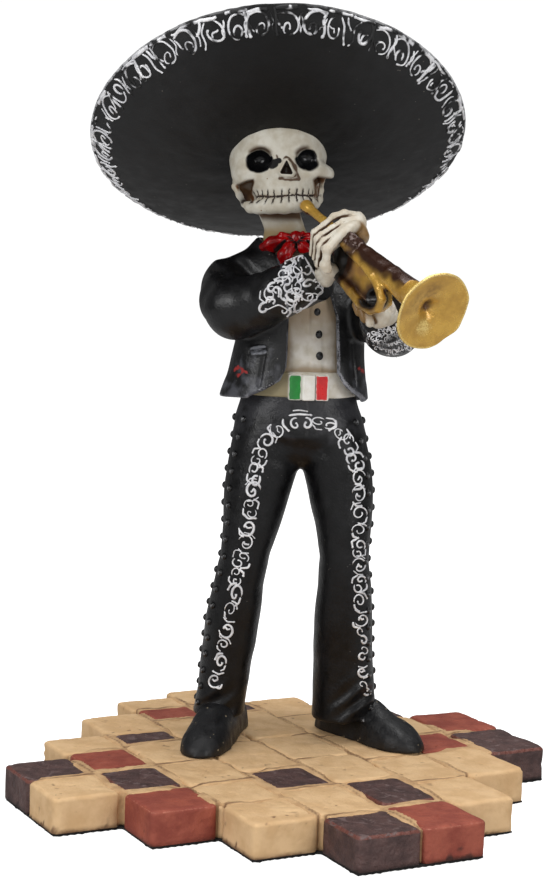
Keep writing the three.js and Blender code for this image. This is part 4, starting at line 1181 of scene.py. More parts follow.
# %% The jacket
JACKET = [[-0.4, 14.8, 93.6, 20.2, 14.6], [-0.4, 14.8, 94.8, 20, 14.6], [-0.2, 14.9, 99, 18.8, 13.8],
          [0.3, 15.1, 109, 17.6, 12.8], [0.3, 15.2, 116, 18, 12.8], [0.1, 15.3, 123, 19, 12.8],
          [-0.2, 15.4, 127.5, 18.8, 12], [-0.6, 15.4, 130.8, 17.2, 10.6], [-1.2, 15.3, 133.3, 12.9, 9],
          [-2.2, 15, 136.2, 9.6, 7.8]]
OPENING = np.array([[-14, 90], [-12.4, 94.2], [-8, 96.4], [-4.4, 98.8], [-2.9, 102.5], [-2.9, 116],
                    [-4.6, 127], [-6.0, 131.5], [-9.8, 134.6], [-12.6, 138], [1.6, 138], [6.0, 128],
                    [9.8, 116], [10.6, 101.5], [13, 98], [17, 94.6], [18.4, 90]])
RIGHT_SLEEVE = [[-13.5, 15.5, 125.5, 6], [-18.3, 14, 122.4, 8.1], [-18.3, 9, 119.6, 8.2],
                [-16.9, 3.6, 117.7, 8], [-11.5, -0.4, 119.2, 7], [-5.6, -5.4, 122.2, 6.4],
                [-1, -9.3, 124.6, 6.2], [5.3, -14.6, 127.8, 6.6]]
LEFT_SLEEVE = [[12.5, 16.6, 125, 6], [16, 16.5, 121.4, 7.3], [20.2, 9, 116.6, 7.1], [24.5, 0.4, 113.4, 6.9],
               [23.4, -8, 114.4, 6.8], [21.4, -18.8, 117.0, 6.2], [20.9, -22.2, 117.9, 5.9]]

# The start and end of each line of the pockets, and how deep it is; below 0 it is raised.
POCKET_LINES = [(*on_depth([(251, 349), (264, 347)], 3.0), -0.45),
                (*on_depth([(252, 354), (265, 352)], 3.0), -0.5),
                (*on_depth([(252, 351.5), (265, 349.5)], 3.0), 0.8),
                (*on_depth([(265, 352), (259, 386)], 3.0), 0.4),
                (*on_depth([(352, 344), (356, 388)], 3.0), 0.35)]


CUFF_BACK = 2.2


def cut_square(points, shape, rows):
    """Cuts a limb square to its path, CUFF_BACK mm before the place of its last row."""
    end, before = at(*rows[-1][:3]), at(*rows[-2][:3])
    way = (end - before) / np.linalg.norm(end - before)
    return cut_out(shape, -((points - end + way * CUFF_BACK) @ way), 0.5)


def jacket_field(points):
    """The outside of the jacket less its opening, joined to the sleeves, with creases at the elbows and the
    shoulder, and the lines of the pockets."""
    body = slices(points, JACKET, 2.1, 0.05, end=0.5)
    opening = np.maximum(outline_distance(front_plane(points), OPENING), points[:, 1] - 14)
    body = cut_out(body, opening, 0.5)
    for rows in (RIGHT_SLEEVE, LEFT_SLEEVE):
        sleeve = cut_square(points, chain(points, rows, 1.6), rows)
        body = blend_in(body, sleeve, 1.5)
    for centre, along, reach, pitch, depth in (
            (at(-12, 0, 122), (1, -0.4, 0.9), 6, 5.5, 0.3), (at(24, 0, 117), (0.1, 1, -0.3), 8, 4.4, 0.35),
            (at(-18, 8, 128), (1, 0.3, 0.9), 7, 6.0, 0.4)):
        body = body + creases(points, centre, along, reach, pitch, depth)
    front = points[:, 1] < 12
    for start, end, deep in POCKET_LINES:
        body = body + deep * np.exp(-(front_lines(points, [(start, end)]) / 0.5) ** 2) * front
    return body + 0.14 * noise(points, 4.0, 8) + 0.4 * noise(points, 10.0, 18)


def flap_highlights(points):
    """Two raised folds over the right pocket, with painted highlights along them."""
    away = front_lines(points, [line[:2] for line in POCKET_LINES[:2]])
    return np.where(points[:, 1] < 12, 1.3 * away - 0.15 + 0.4 * noise(points, 1.2, 66), FAR)


def jacket_rim(points):
    """How far a point lies from the opening's edge, the hem and the pocket's folds, which get painted
    highlights.
    """
    edge = np.abs(outline_distance(front_plane(points), OPENING)) + 0.35 * (points[:, 0] > 5)
    away = np.where(points[:, 1] < 13, edge, FAR)
    away = np.minimum(away, points[:, 2] - at(0, 0, 93.7)[2]) + 0.45 * (noise(points, 1.3, 54) + 0.3)
    return np.minimum(away, flap_highlights(points))


def red_thread(points):
    """The red thread on the jacket: five short lines on its right side and one on its left."""
    spots = on_depth([(233, 372), (238, 369), (243, 370), (248, 374), (241, 375), (236, 376), (361, 370),
                      (365, 374)], 3.0)
    lines = [(0, 1), (1, 2), (2, 3), (2, 4), (4, 5), (6, 7)]
    away = front_lines(points, [(spots[a], spots[b]) for a, b in lines])
    return np.where(points[:, 1] < 14, away, FAR) + 0.5 * (noise(points, 0.9, 55) + 0.2)


# worn: grey wear and painted sheen towards the hem
make_solid("jacket", jacket_field, at(-28, -25, 92), at(33, 31, 137), 0.45, "jacket_black", rim=jacket_rim,
           red_thread=red_thread,
           worn=lambda p: (p[:, 2] - at(0, 0, 98)[2]) / 12 + 1.3 * rough(p, 2.0, 3, 56) + 0.55)

# %% The boots
def boot_field(heel, toe):
    """Slices along a line on the ground: half width and height eased from heel to toe, flat below."""
    line = (toe - heel)[:2]
    length = np.linalg.norm(line)
    way = line / length
    across = np.array([-way[1], way[0]])
    table = np.array([[-0.10, 0.6, 0.6], [-0.06, 3.6, 4.4], [0.05, 5.0, 9], [0.3, 5.2, 12], [0.5, 5.7, 10.8],
                      [0.7, 6.5, 8.0], [0.84, 6.3, 6.3], [0.92, 5.4, 5.1], [0.98, 4.0, 3.7], [1.02, 2.2, 2.2],
                      [1.035, 0.3, 0.3]])

    def shape(points):
        share = (points[:, :2] - heel[:2]) @ way / length
        side = (points[:, :2] - heel[:2]) @ across
        wide, high = [eased(share, table[:, 0], table[:, i], 0.035) for i in (1, 2)]
        wide, high = np.maximum(wide, 0.05), np.maximum(high, 0.05)
        z = points[:, 2] - SOLE
        power = 2.4
        ring = ((np.abs(side / wide) ** power + np.abs(np.maximum(z, 0) / high) ** power) ** (1 / power) - 1)
        body = ring * np.minimum(wide, high) + 0.25 * noise(points, 3.4, 57)
        ends = np.maximum(-0.10 - share, share - 1.035) * length
        return np.maximum(np.maximum(body, ends), 0.05 - z)
    return shape


LEFT_BOOT = boot_field(at(-14.6, 28.5, 0), at(-23, -9.4, 0))
RIGHT_BOOT = boot_field(at(12.4, 28.6, 0), at(35.3, 3.2, 0))
make_solid("left_boot", LEFT_BOOT, at(-30, -12.5, -1), at(-7, 33, 13), 0.4, "boot_black")
make_solid("right_boot", RIGHT_BOOT, at(5, -3.5, -1), at(42, 34, 13), 0.4, "boot_black")

# %% [markdown]
# ## Scrolls and studs
#
# The embroidery of the suit is cast as low scrolls that were then painted silver with a fine brush. Each
# scroll is a stroke: a curve on the cloth that carries a low round section, thick in its middle, with a
# bulb where it curls up. The curls are drawn flat, in pixels of the photograph or along the brim, and are
# then laid on the surface. A ray from the camera finds the place on the cloth, so they fit it from any side.

# %% Flat scrolls
STROKE_STEPS = 20


def curl(centre, size, start, sweep, shrink=0.62):
    """A spiral: the angle is start + sweep*t and the radius size*(1 - shrink*t^1.3), for t from 0 to 1."""
    t = np.linspace(0, 1, STROKE_STEPS)
    angle, radius = np.radians(start + sweep * t), size * (1 - shrink * t ** 1.3)
    return np.stack([centre[0] + radius * np.cos(angle), centre[1] + radius * np.sin(angle)], axis=1)


def sweep_line(*corners):
    """A smooth line through corners: straight pieces eased over a window."""
    stops = np.linspace(0, 1, len(corners))
    t = np.linspace(0, 1, STROKE_STEPS)
    return np.stack([eased(t, stops, [c[i] for c in corners], 0.35) for i in (0, 1)], axis=1)


MOTIFS = {
    "double": [curl((-0.26, -0.12), 0.29, 70, 350, 0.7), curl((0.26, -0.12), 0.29, 110, -350, 0.7),
               sweep_line((-0.54, 0.30), (0.0, 0.36), (0.52, 0.32)),
               sweep_line((-0.36, 0.50), (0.0, 0.54), (0.30, 0.48))],
    "ring": [curl((0.0, 0.0), 0.46, 100, 410, 0.74),
             sweep_line((-0.56, 0.20), (-0.54, -0.20), (-0.24, -0.50)),
             sweep_line((0.30, 0.38), (0.52, 0.12), (0.54, -0.26)),
             sweep_line((-0.12, 0.10), (0.02, 0.02), (0.06, -0.14))],
    "heart": [curl((-0.22, 0.08), 0.32, 40, 380, 0.72), curl((0.26, -0.08), 0.30, 220, 370, 0.72),
              sweep_line((-0.54, -0.10), (-0.38, -0.46), (0.0, -0.44)),
              sweep_line((0.02, 0.44), (0.36, 0.42), (0.54, 0.12))],
    "leaf": [curl((0.08, 0.02), 0.44, -70, 350, 0.7),
             sweep_line((-0.50, -0.36), (-0.28, -0.06), (-0.36, 0.42)),
             sweep_line((0.0, -0.16), (0.14, 0.02), (0.04, 0.22)),
             sweep_line((0.16, -0.46), (0.46, -0.40), (0.56, -0.06))],
    "comma": [curl((0.0, 0.02), 0.42, 70, 400, 0.76), sweep_line((0.14, 0.44), (0.42, 0.36), (0.54, 0.04)),
              sweep_line((-0.54, 0.12), (-0.46, -0.32), (-0.14, -0.50))],
    "ess": [curl((-0.26, 0.06), 0.28, -40, 330), curl((0.26, -0.06), 0.28, 140, 330)],
    "wave": [curl((-0.20, -0.08), 0.30, 30, 300, 0.66), sweep_line((0.02, 0.06), (0.26, 0.26), (0.50, 0.10)),
             curl((0.30, -0.14), 0.18, 150, -260, 0.6)],
}


RIBBON_SIDES = 6


def ribbons(lines, normals, half, high, around=RIBBON_SIDES, sink=0.3):
    """Strokes of thick paint. At each point of a line there is a ring: half its width times the cosine to
    the side, and the height times the sine off the surface. Both shrink to nothing at the ends."""
    t = np.linspace(0, 1, lines.shape[1])
    shape = (1 - (2 * t - 1) ** 16) ** 0.5 * (1 - 0.3 * t) * (0.55 + 0.45 * np.sin(np.pi * t) ** 0.7)
    shape = shape + 0.55 * np.exp(-((t - 0.93) / 0.05) ** 2) * (1 - (2 * t - 1) ** 16)
    forward = np.gradient(lines, axis=1)
    side = np.cross(normals, forward)
    side /= np.linalg.norm(side, axis=2, keepdims=True) + 1e-9
    angle = round_angles(around)
    c, lift = np.cos(angle), np.where(np.sin(angle) > 0, high * np.sin(angle), sink * np.sin(angle))
    wide = (half[:, None] * shape)[:, :, None, None]
    rise = np.minimum(shape, 1.1)[None, :, None, None] * lift[:, None]
    points = lines[:, :, None] + side[:, :, None] * wide * c[:, None] + normals[:, :, None] * rise
    faces = grid_faces(lines.shape[1], around, wrap_columns=True)
    faces = repeated(faces, len(lines), lines.shape[1] * around)
    raised = np.broadcast_to((lift > -0.05)[None, None], points.shape[:3]).ravel()
    return points.reshape(-1, 3), faces, raised.astype(float)


# %% From pixels to the surface
def seen_on(shape, pixels, near=430.0):
    """Where rays from the camera through pixels first meet a field: each step is 0.8 of the field's value,
    and 4 mm at most. A ray that passes by is pulled in from its closest point."""
    rays = rays_through(pixels)
    points = np.array(CAMERA_PLACE) + rays * near
    best, closest = points.copy(), np.full(len(points), np.inf)
    for _ in range(60):
        away = shape(points)
        better = np.abs(away) < closest
        best[better], closest[better] = points[better], np.abs(away)[better]
        points = points + rays * np.clip(away * 0.8, -0.4, 4)[:, None]
    return onto(shape, best, 4)


def along_path(path, pitch):
    """Stations a pitch apart on a path of pixels, with the direction at each."""
    path = np.array(path, float)
    run = run_along(path)
    fine = np.linspace(0, run[-1], 400)
    smooth = np.stack([eased(fine, run, path[:, i], 0.08) for i in (0, 1)], axis=1)
    stations = np.arange(pitch / 2, run[-1], pitch)
    ways = np.gradient(smooth, axis=0)
    pick = np.clip(np.searchsorted(fine, stations), 0, 399)
    return smooth[pick], ways[pick] / np.linalg.norm(ways[pick], axis=1)[:, None]


def motif_at(name, spot, way, size, flip, dice):
    """The strokes of a motif, turned to a direction, scaled, and made a little uneven at random."""
    across = np.array([way[1], -way[0]]) * flip
    stretch = size * (1 + 0.10 * dice.standard_normal(2))
    wave = np.sin(np.linspace(0, 5, STROKE_STEPS))[:, None]
    lines = [line + wave * dice.normal(0, 0.03, 2) for line in MOTIFS[name]]
    return [spot + line[:, :1] * way * stretch[0] + line[:, 1:] * across * stretch[1] + dice.normal(0, 0.3, 2)
            for line in lines]


def lay_scrolls(name, shape, strokes, half, high, seed, keep=0.0, limb=None):
    """Lays flat strokes in pixels on a field and paints the raised part of each silver. With a limb, the
    rays meet that limb alone, so no stroke spans the gap to the body behind it."""
    lines = np.array(strokes)
    flat = seen_on(limb or shape, lines.reshape(-1, 2))
    if limb:
        flat = onto(shape, flat, 4)
    normals, _ = slope(shape, flat)
    lines, normals = flat.reshape(*lines.shape[:2], 3), normals.reshape(*lines.shape[:2], 3)
    widths = half * np.random.default_rng(seed).uniform(0.6, 1.5, len(lines))
    points, faces, raised = ribbons(lines, normals, widths, high)
    silver = raised * (0.75 + 0.55 * noise(points, 3.0, seed) + keep)
    made = make_piece(name, points, faces, paints["scroll_silver"], "painted_figure", welded=True,
                      silver=silver, hollow=1 - raised, edge=raised)
    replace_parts(made, "skeleton_figure")


# %% The scrolls on the trousers
LEFT_BORDER = [(287, 424), (276, 431), (264, 445), (255, 470), (253, 490), (250, 510), (247, 530), (245, 550),
               (240, 562), (235, 580), (235, 597), (230, 610), (226, 632), (222, 650), (220, 668), (211, 692)]
RIGHT_BORDER = [(315, 423), (330, 424), (341, 432), (350, 448), (359, 470), (358, 490), (359, 512),
                (359, 535), (359, 557), (359, 578), (360, 600), (362, 640), (363, 660), (362, 680),
                (368, 694)]

# The motifs of the upper part of a border, then of the lower part.
BORDER_NAMES = (("ring", "heart", "leaf", "comma"), ("comma", "wave", "ess", "leaf"))


def border_strokes(path, pitch, size, seed):
    """Motifs a pitch apart along a path, smaller towards the hem, and every second one turned over."""
    dice = np.random.default_rng(seed)
    spots, ways = along_path(path, pitch)
    strokes = []
    for i, (spot, way) in enumerate(zip(spots, ways)):
        low = i / len(spots)
        name = BORDER_NAMES[low >= 0.6][dice.integers(4)]
        strokes += motif_at(name, spot, way, np.array(size) * (1.04 - 0.26 * low), (-1) ** i, dice)
    return strokes


first = motif_at("double", np.array([301.0, 421.0]), np.array([1.0, 0.0]), (24, 21), 1,
                 np.random.default_rng(4))
lay_scrolls("trouser_scrolls", trousers_field, first + border_strokes(LEFT_BORDER, 17.5, (20, 18), 5)
            + border_strokes(RIGHT_BORDER, 17.5, (19, 17), 6), 0.29, 0.38, 7, keep=0.35)


# %% The lace on the sleeves
def scattered(corners, pitch, seed):
    """Stations inside an outline of pixels: the points of a slanted grid, shaken a little."""
    dice = np.random.default_rng(seed)
    corners = np.array(corners, float)
    low, high = corners.min(axis=0), corners.max(axis=0)
    x, y = np.meshgrid(np.arange(low[0], high[0], pitch), np.arange(low[1], high[1], pitch * 0.9))
    x = x + (np.arange(len(x)) % 2)[:, None] * pitch / 2
    spots = np.stack([x.ravel(), y.ravel()], axis=1) + dice.normal(0, pitch * 0.12, (x.size, 2))
    return spots[outline_distance(spots, corners) < -pitch * 0.15], dice


SLEEVE_LACE = [(249, 319), (256, 300), (266, 281), (284, 262), (294, 255), (304, 256), (313, 273), (323, 290),
               (306, 307), (292, 312), (279, 304), (262, 312)]
CUFF_LACE = [(362, 327), (371, 334), (386, 326), (398, 316), (405, 334), (412, 350), (398, 358), (378, 352),
             (366, 342)]
for name, limb, corners, pitch, size, half, keep, seed in (
        ("sleeve_lace", RIGHT_SLEEVE, SLEEVE_LACE, 11.0, (20, 17), 0.33, 0.15, 21),
        ("cuff_lace", LEFT_SLEEVE, CUFF_LACE, 5.8, (9, 7), 0.17, -0.12, 22)):
    spots, dice = scattered(corners, pitch, seed)
    strokes = [sweep_line(*corners[k:k + 3]) for k in (3, 5, 7, 9)] if pitch > 8 else []
    for spot in spots:
        turn = dice.uniform(0, 2 * np.pi)
        way = np.array([np.cos(turn), np.sin(turn)])
        strokes += motif_at(("ess", "comma", "wave")[dice.integers(3)], spot, way, size, 1, dice)
    lay_scrolls(name, jacket_field, strokes, half, half, seed, keep=keep,
                limb=lambda points: cut_square(points, chain(points, limb, 1.6), limb))


# %% The studs on the trousers
def leg_studs(rows, outward, count=18):
    """Places down the outer seam of a leg, in two rows, moved along the slope onto the cloth."""
    table = np.array(rows)
    height = 91 - 84 * (0.04 + 0.93 * np.arange(count) / (count - 1))
    spots = []
    for turn in (-0.12, 0.62):
        x, y, wide, deep = [np.interp(height, table[:, 2], table[:, i]) for i in (0, 1, 3, 4)]
        x, y = x + outward * wide * np.cos(turn), y - deep * np.sin(turn)
        spots.append(np.stack([x, y, height + SOLE], axis=1))
    return onto(trousers_field, np.concatenate(spots), 5)


def domes(spots, normals, radius, high, rows=5, around=10):
    """Low domes: rings of radius*cos(a) at high*sin(a) over each spot, from below the cloth to the top."""
    a = np.linspace(-0.35, np.pi / 2, rows)
    turn = round_angles(around)
    side = np.cross(normals, [0.0, 0.0, 1.0])
    side /= np.linalg.norm(side, axis=1)[:, None]
    up = np.cross(normals, side)
    ring = side[:, None] * np.cos(turn)[:, None] + up[:, None] * np.sin(turn)[:, None]
    lumpy = 1 + 0.12 * np.cos(5 * turn)[:, None]
    wide = np.concatenate([[0], np.cos(a)]) * radius
    rise = np.concatenate([[np.sin(a[0])], np.sin(a)]) * high
    points = (spots[:, None, None] + ring[:, None] * lumpy * wide[:, None, None]
              + normals[:, None, None] * rise[:, None, None])
    faces = repeated(grid_faces(rows + 1, around, wrap_columns=True), len(spots), (rows + 1) * around)
    return points.reshape(-1, 3), faces, np.tile(np.repeat(np.linspace(0, 1, rows + 1), around), len(spots))


spots = np.concatenate([leg_studs(LEFT_LEG, -1), leg_studs(RIGHT_LEG, 1)])
points, faces, rise = domes(spots, slope(trousers_field, spots)[0], 0.95, 0.75)
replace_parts(make_piece("leg_studs", points, faces, paints["stud_black"], "painted_figure", welded=True,
                       hollow=1 - rise, edge=rise), "skeleton_figure")

# %% [markdown]
# ## The trumpet and the hands
#
# The trumpet has a frame of its own: t runs along its pipe from the mouthpiece, d goes down from the pipe
# and n out to the near side. The fingers were drawn over the photograph instead, joint by joint, as pixels
# with a depth that lays them on the pipe and the slide.

# %% The trumpet's frame
MOUTH, GRIP = at(0.3, -3.6, 144.9), at(10.5, -18.8, 136.6)
ALONG = (GRIP - MOUTH) / np.linalg.norm(GRIP - MOUTH)
DROP = np.array([0, 0, -1]) + ALONG * ALONG[2]
DROP /= np.linalg.norm(DROP)
NEAR = np.cross(DROP, ALONG)
GRIP_ALONG = np.linalg.norm(GRIP - MOUTH)
TRUMPET_FRAME = np.stack([ALONG, DROP, NEAR])


def on_trumpet(t, d, n):
    """A place t along the pipe, d down and n out from the mouthpiece."""
    return MOUTH + np.stack(np.broadcast_arrays(t, d, n), axis=-1) @ TRUMPET_FRAME


def tube(points, rows, soft=0.3):
    """Rods end to end through rows of t, d, n, radius on the trumpet's frame."""
    places = [on_trumpet(*row[:3]) for row in rows]
    return chain_between(points, places, [row[3] for row in rows], soft)


def drawn(points, rows, soft=0.4):
    """Rods end to end through rows of pixel x, pixel y, depth in mm and radius."""
    table = np.array(rows, float)
    return chain_between(points, on_depth(table[:, :2], table[:, 2]), table[:, 3], soft)


HORN = [[0.9, 0, 0, 1.75], [2.2, 0, 0, 1.5], [4.5, 0, 0, 1.15], [GRIP_ALONG - 4, 0, 0, 1.15],
        [GRIP_ALONG - 1, 0, 0, 2.0], [30, 0, 0, 2.3], [42, 0, 0, 2.9], [50, 0, 0, 3.4]]
SLIDE = [[26.5, 1.0, 1.8, 0.9], [32.4, 1.2, 2.1, 1.0], [37.7, 1.9, 2.3, 1.15], [41.9, 3.3, 2.4, 1.2],
         [43.6, 5.3, 2.2, 1.15], [43.2, 8.0, 2.0, 1.1], [40.2, 9.9, 1.8, 1.2], [35.2, 10.6, 1.4, 1.2],
         [29.8, 10.0, 1.0, 1.1], [22, 9.4, 0.4, 1.1]]
SLIDE_INSIDE = np.array([(22.7, 5.4), (24.5, 2.6), (28, 2.6), (33, 2.4), (36.9, 3.0), (40.2, 4.5),
                         (41.6, 7.0), (39.8, 9.2), (34.2, 10.2), (28.3, 9.8), (24.3, 9.2)])
HOLE = dict(centre=on_trumpet(39.2, 7.1, 1.5), radii=(3.9, 2.2, 2.9),
            turned=(turn_about(2, 25) @ TRUMPET_FRAME).T)

LUMP = on_trumpet(25.0, -0.9, 1.4)


def inside_slide(points):
    """How far a point lies from the sunk field inside the bow of the slide, seen along n, and its own n."""
    t, d, n = ((points - MOUTH) @ TRUMPET_FRAME.T).T
    return outline_distance(np.stack([t, d], axis=1), SLIDE_INSIDE), n


def trumpet_field(points):
    """Pipe, horn and tuning slide, with the hollowed web that the casting has between them, and a rough
    lump of resin behind the right hand."""
    brass = blend_in(tube(points, HORN), tube(points, SLIDE), 0.9)
    away, n = inside_slide(points)
    brass = blend_in(brass, np.maximum(away - 1.2, np.abs(n + 0.9) - 1.3), 0.7)
    brass = blend_in(brass, egg(points, on_trumpet(20.5, 3.8, -0.9), (3.8, 4.6, 2.3), TRUMPET_FRAME.T), 0.6)
    lump = egg(points, LUMP, (3.2, 2.6, 2.8), TRUMPET_FRAME.T) + 0.5 * noise(points, 1.1, 58)
    brass = blend_in(brass, lump, 0.6)
    return cut_out(brass, egg(points, *HOLE.values()), 0.5) + 0.12 * noise(points, 2.2, 12)


def trumpet_shades(points):
    """Where the gold is painted dark brown as shade and as reflection: by the grip, along the horn's upper
    side, on the lump behind the hand, round the hole and low inside the slide."""
    t, d, n = ((points - MOUTH) @ TRUMPET_FRAME.T).T
    grip = np.where(d > 0.8, t - 26.5, FAR)
    ridge = np.interp(t, [20, 34, 39, 45, 53], [-0.3, -0.1, -0.2, -1.5, -2.3])
    back = np.where((t > 20) & (t < 54), 1.3 * (d - ridge), FAR)
    hole = egg(points, *HOLE.values()) - 0.4 - 0.9 * np.clip((38 - t) / 4, 0, 1)
    low = np.maximum(np.maximum(inside_slide(points)[0], n - 1.6), 7.4 - d)
    lump = np.linalg.norm(points - LUMP, axis=1) - 3.6
    return np.minimum.reduce([grip, back, lump, hole, low]) + 1.2 * noise(points, 2.4, 59)


BELL_ROWS = 22


def bell_surface(around=96):
    """The flare is a profile of t and radius spun round the pipe, out along the outside and back within.
    The inside is darker towards its depth, with painted shade on its upper side and a painted highlight on its
    lower side."""
    outside = np.array([[49.5, 3.2], [51, 3.3], [53.4, 3.9], [55.4, 4.8], [57.2, 6.0], [58.6, 7.4],
                        [59.7, 8.9], [60.3, 9.75]])
    inside = np.array([[60.8, 9.6], [60.5, 9.0], [60.2, 7.8], [59.9, 6.2], [59.5, 4.5], [58.9, 3.0],
                       [58.0, 1.7], [57.0, 0.7]])
    rows, stops = np.linspace(0, 1, BELL_ROWS), np.linspace(0, 1, len(outside))
    out, back = resampled(rows, stops, outside), resampled(rows, stops, inside)
    profile = np.concatenate([[[49.5, 0.0]], out, back, [[56.6, 0.0]]]) * [1, 1.03]
    angle = round_angles(around)
    t = np.repeat(profile[:, :1], around, axis=1)
    chipped = 1 - 0.05 * np.exp(-((angle - np.radians(318)) / 0.3) ** 2)
    d, n = profile[:, 1:] * np.cos(angle) * chipped, profile[:, 1:] * np.sin(angle) * chipped
    points = on_trumpet(t, d, n).reshape(-1, 3)
    rim = np.clip((np.hypot(d, n).ravel() - 8) / 1.8, 0, 1)
    points = points + ALONG * (rim * (0.35 * noise(points, 2.6, 21) - 0.3))[:, None]
    quads = grid_faces(len(profile), around, wrap_columns=True)[:, ::-1]
    half = BELL_ROWS + 1
    depth = np.concatenate([np.zeros(half), np.clip(np.linspace(-1.6, 0.8, half), 0, 1)])
    # Painted shade on the upper side of the inside goes into its hollow, and a painted highlight on its lower
    # side into its edge.
    painted_shade = np.concatenate([np.zeros(half + 1), np.sin(np.linspace(0.2, np.pi, half - 1))])[:, None]
    painted_shade = painted_shade * np.clip(0.3 + np.cos(angle - 2.3), 0, 1)
    lit = np.concatenate([np.zeros(half + 3), np.sin(np.linspace(0.1, np.pi, half - 3))])[:, None]
    lit = lit * np.clip(np.cos(angle - 0.15) - 0.35, 0, 1)
    return points, quads, np.repeat(depth, around) + 0.5 * painted_shade.ravel(), np.maximum(rim, 1.5 * lit.ravel())


def trumpet_inner(points):
    """The sunk field inside the bow of the slide, where the gold is duller."""
    away, n = inside_slide(points)
    return np.maximum(away, n - 1.5) + 1.4 * noise(points, 2.2, 62) + 0.3


def trumpet_black(points):
    """Painted shade: the dark inside the hole and on the shaded side of the pipe under the hand."""
    q = points - MOUTH
    return np.minimum(egg(points, *HOLE.values()) - 0.45, np.where(q @ DROP > 1.5, q @ ALONG - 24, FAR))


make_solid("trumpet_body", trumpet_field, MOUTH - [3, 50, 36], MOUTH + [38, 4, 5], 0.4, "gold_brass",
           slot="gold_paint", node="trumpet", brown=trumpet_shades, inner=trumpet_inner, black=trumpet_black)
# The bell's hollow carries painted shade and its edge a painted highlight, besides the wash and the worn rim.
points, faces, depth, rim = bell_surface()
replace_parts(make_piece("trumpet_bell", points, faces, paints["gold_brass"], "gold_paint", welded=True,
                       hollow=depth, edge=rim, brown=nowhere(points), black=nowhere(points),
                       inner=nowhere(points)), "trumpet")


# %% The hands
RIGHT_FINGERS = [
    [(353, 215, -17.4, 0.95), (344, 213.4, -18.6, 0.85), (333.5, 216.4, -19.8, 0.7), (324, 225, -20.7, 0.65),
     (314.6, 232.6, -21, 0.8), (312.6, 243, -20.2, 0.5), (311.6, 254, -18.8, 0.55)],
    [(354, 219.5, -18.6, 0.9), (343, 222, -20.2, 0.8), (332.6, 228, -21.4, 0.7), (321.5, 234.8, -22.2, 0.7),
     (317.4, 239, -22.2, 0.8), (316, 248, -21.6, 0.5), (314.6, 258, -20.2, 0.55)],
    [(352, 224, -20, 0.9), (344, 227.5, -21.6, 0.8), (335.6, 233.8, -22.8, 0.75), (324, 241, -23.4, 0.75),
     (320.6, 247, -23.4, 0.85), (319, 256, -22.8, 0.55), (317.6, 264.6, -21.4, 0.65)],
    [(356, 227, -20.6, 1.5), (349, 229, -22.2, 1.35), (341, 234.5, -23.6, 1.15), (333, 243, -24.6, 1.0),
     (327, 249.5, -25, 1.15), (326.4, 257, -24.8, 0.8), (325, 265, -24, 1.2), (326.4, 268.6, -23.6, 1.35)]]
LEFT_FINGERS = [[(356, 305, -23.4, 1.0), (359, 312, -24, 1.1)],
                [(362, 311, -25.4, 1.0), (365, 318.5, -26, 1.15)],
                [(368, 316, -27.4, 1.0), (370, 323, -27.8, 1.1)]]


def right_hand_field(points):
    """Four fingers over the pipe and down the near side, the back of the hand under them, and the wrist."""
    hand = drawn(points, [(356, 222, -16.6, 2.6), (345, 228, -18.4, 2.4), (334, 238, -19.8, 2.2),
                          (326, 247, -20.4, 1.8), (322, 256, -19.6, 1.6), (323, 264, -18.6, 1.3)], 1.0)
    hand = blend_in(hand, drawn(points, [(356, 226, -18, 2.4), (361, 237, -19.4, 2.0)], 1.0), 0.8)
    for rows in RIGHT_FINGERS:
        hand = blend_in(hand, drawn(points, rows, 0.5), 0.3)
    for rows in ([(311, 271, -9, 1.8), (320, 276, -13, 1.5), (331, 270, -17, 1.7)],
                 [(318, 262, -11, 1.4), (325, 266, -16, 1.2)],
                 [(318, 282, -11, 1.5), (327, 281, -14, 1.3), (333, 272, -17, 1.4)]):
        hand = blend_in(hand, drawn(points, rows, 0.6), 0.5)
    return hand + 0.07 * noise(points, 1.2, 14) - 0.12


def left_hand_field(points):
    """The fingers come round the slide from below, and the palm lies behind it."""
    hand = drawn(points, [(387, 315, -20, 2.8), (379, 317, -24, 2.7), (369, 314, -24.6, 1.9),
                          (362, 309, -23, 1.3)], 1.0)
    for rows in LEFT_FINGERS:
        hand = blend_in(hand, drawn(points, rows), 0.35)
    return hand + 0.08 * noise(points, 1.4, 15)


def grime_from(pixels, depth, reach):
    """How far a point lies outside a dirty patch round a line of pixels."""
    places = on_depth(pixels, depth)
    return lambda points: rod(points, places[0], places[-1], reach, reach) + 0.8 * noise(points, 1.6, 60)


def left_cuff_field(points):
    """The shirt's cuff past the sleeve: one rod, cut square."""
    rows = [[21.6, -13, 117.3, 3.6], [19.7, -25.4, 120.1, 3.3]]
    return cut_square(points, chain(points, rows, 0.5), rows)


make_solid("right_hand", right_hand_field, at(-2, -30, 121), at(20, -3, 146), 0.25, "bone",
           grime=grime_from([(361, 233), (352, 244)], -20.5, 1.9))
make_solid("left_hand", left_hand_field, at(7, -32, 108), at(30, -14, 130), 0.3, "bone",
           grime=grime_from([(352, 303), (366, 316)], [-22.0, -26.5], 1.5))
make_solid("left_shirt_cuff", left_cuff_field, at(13, -28, 109), at(30, -8, 126), 0.35, "shirt_white",
           khaki=nowhere, stain=nowhere)


# %% The bow tie
TIE_PARTS = [[(294, 237, 6.4, 1.1), (284, 239.5, 6.8, 1.9), (272, 244, 7.6, 2.2), (265.5, 247, 8.4, 1.5)],
             [(297, 237, 6.4, 1.1), (305, 238.5, 6.6, 1.7), (314, 241, 7.4, 1.7)],
             [(294, 240, 5.8, 0.9), (289, 248, 5.0, 1.9), (284.5, 257, 4.4, 1.8), (282, 263.5, 4.2, 0.7)],
             [(298, 240, 5.8, 0.9), (304, 247, 5.0, 1.6), (309, 254, 4.4, 0.9)]]


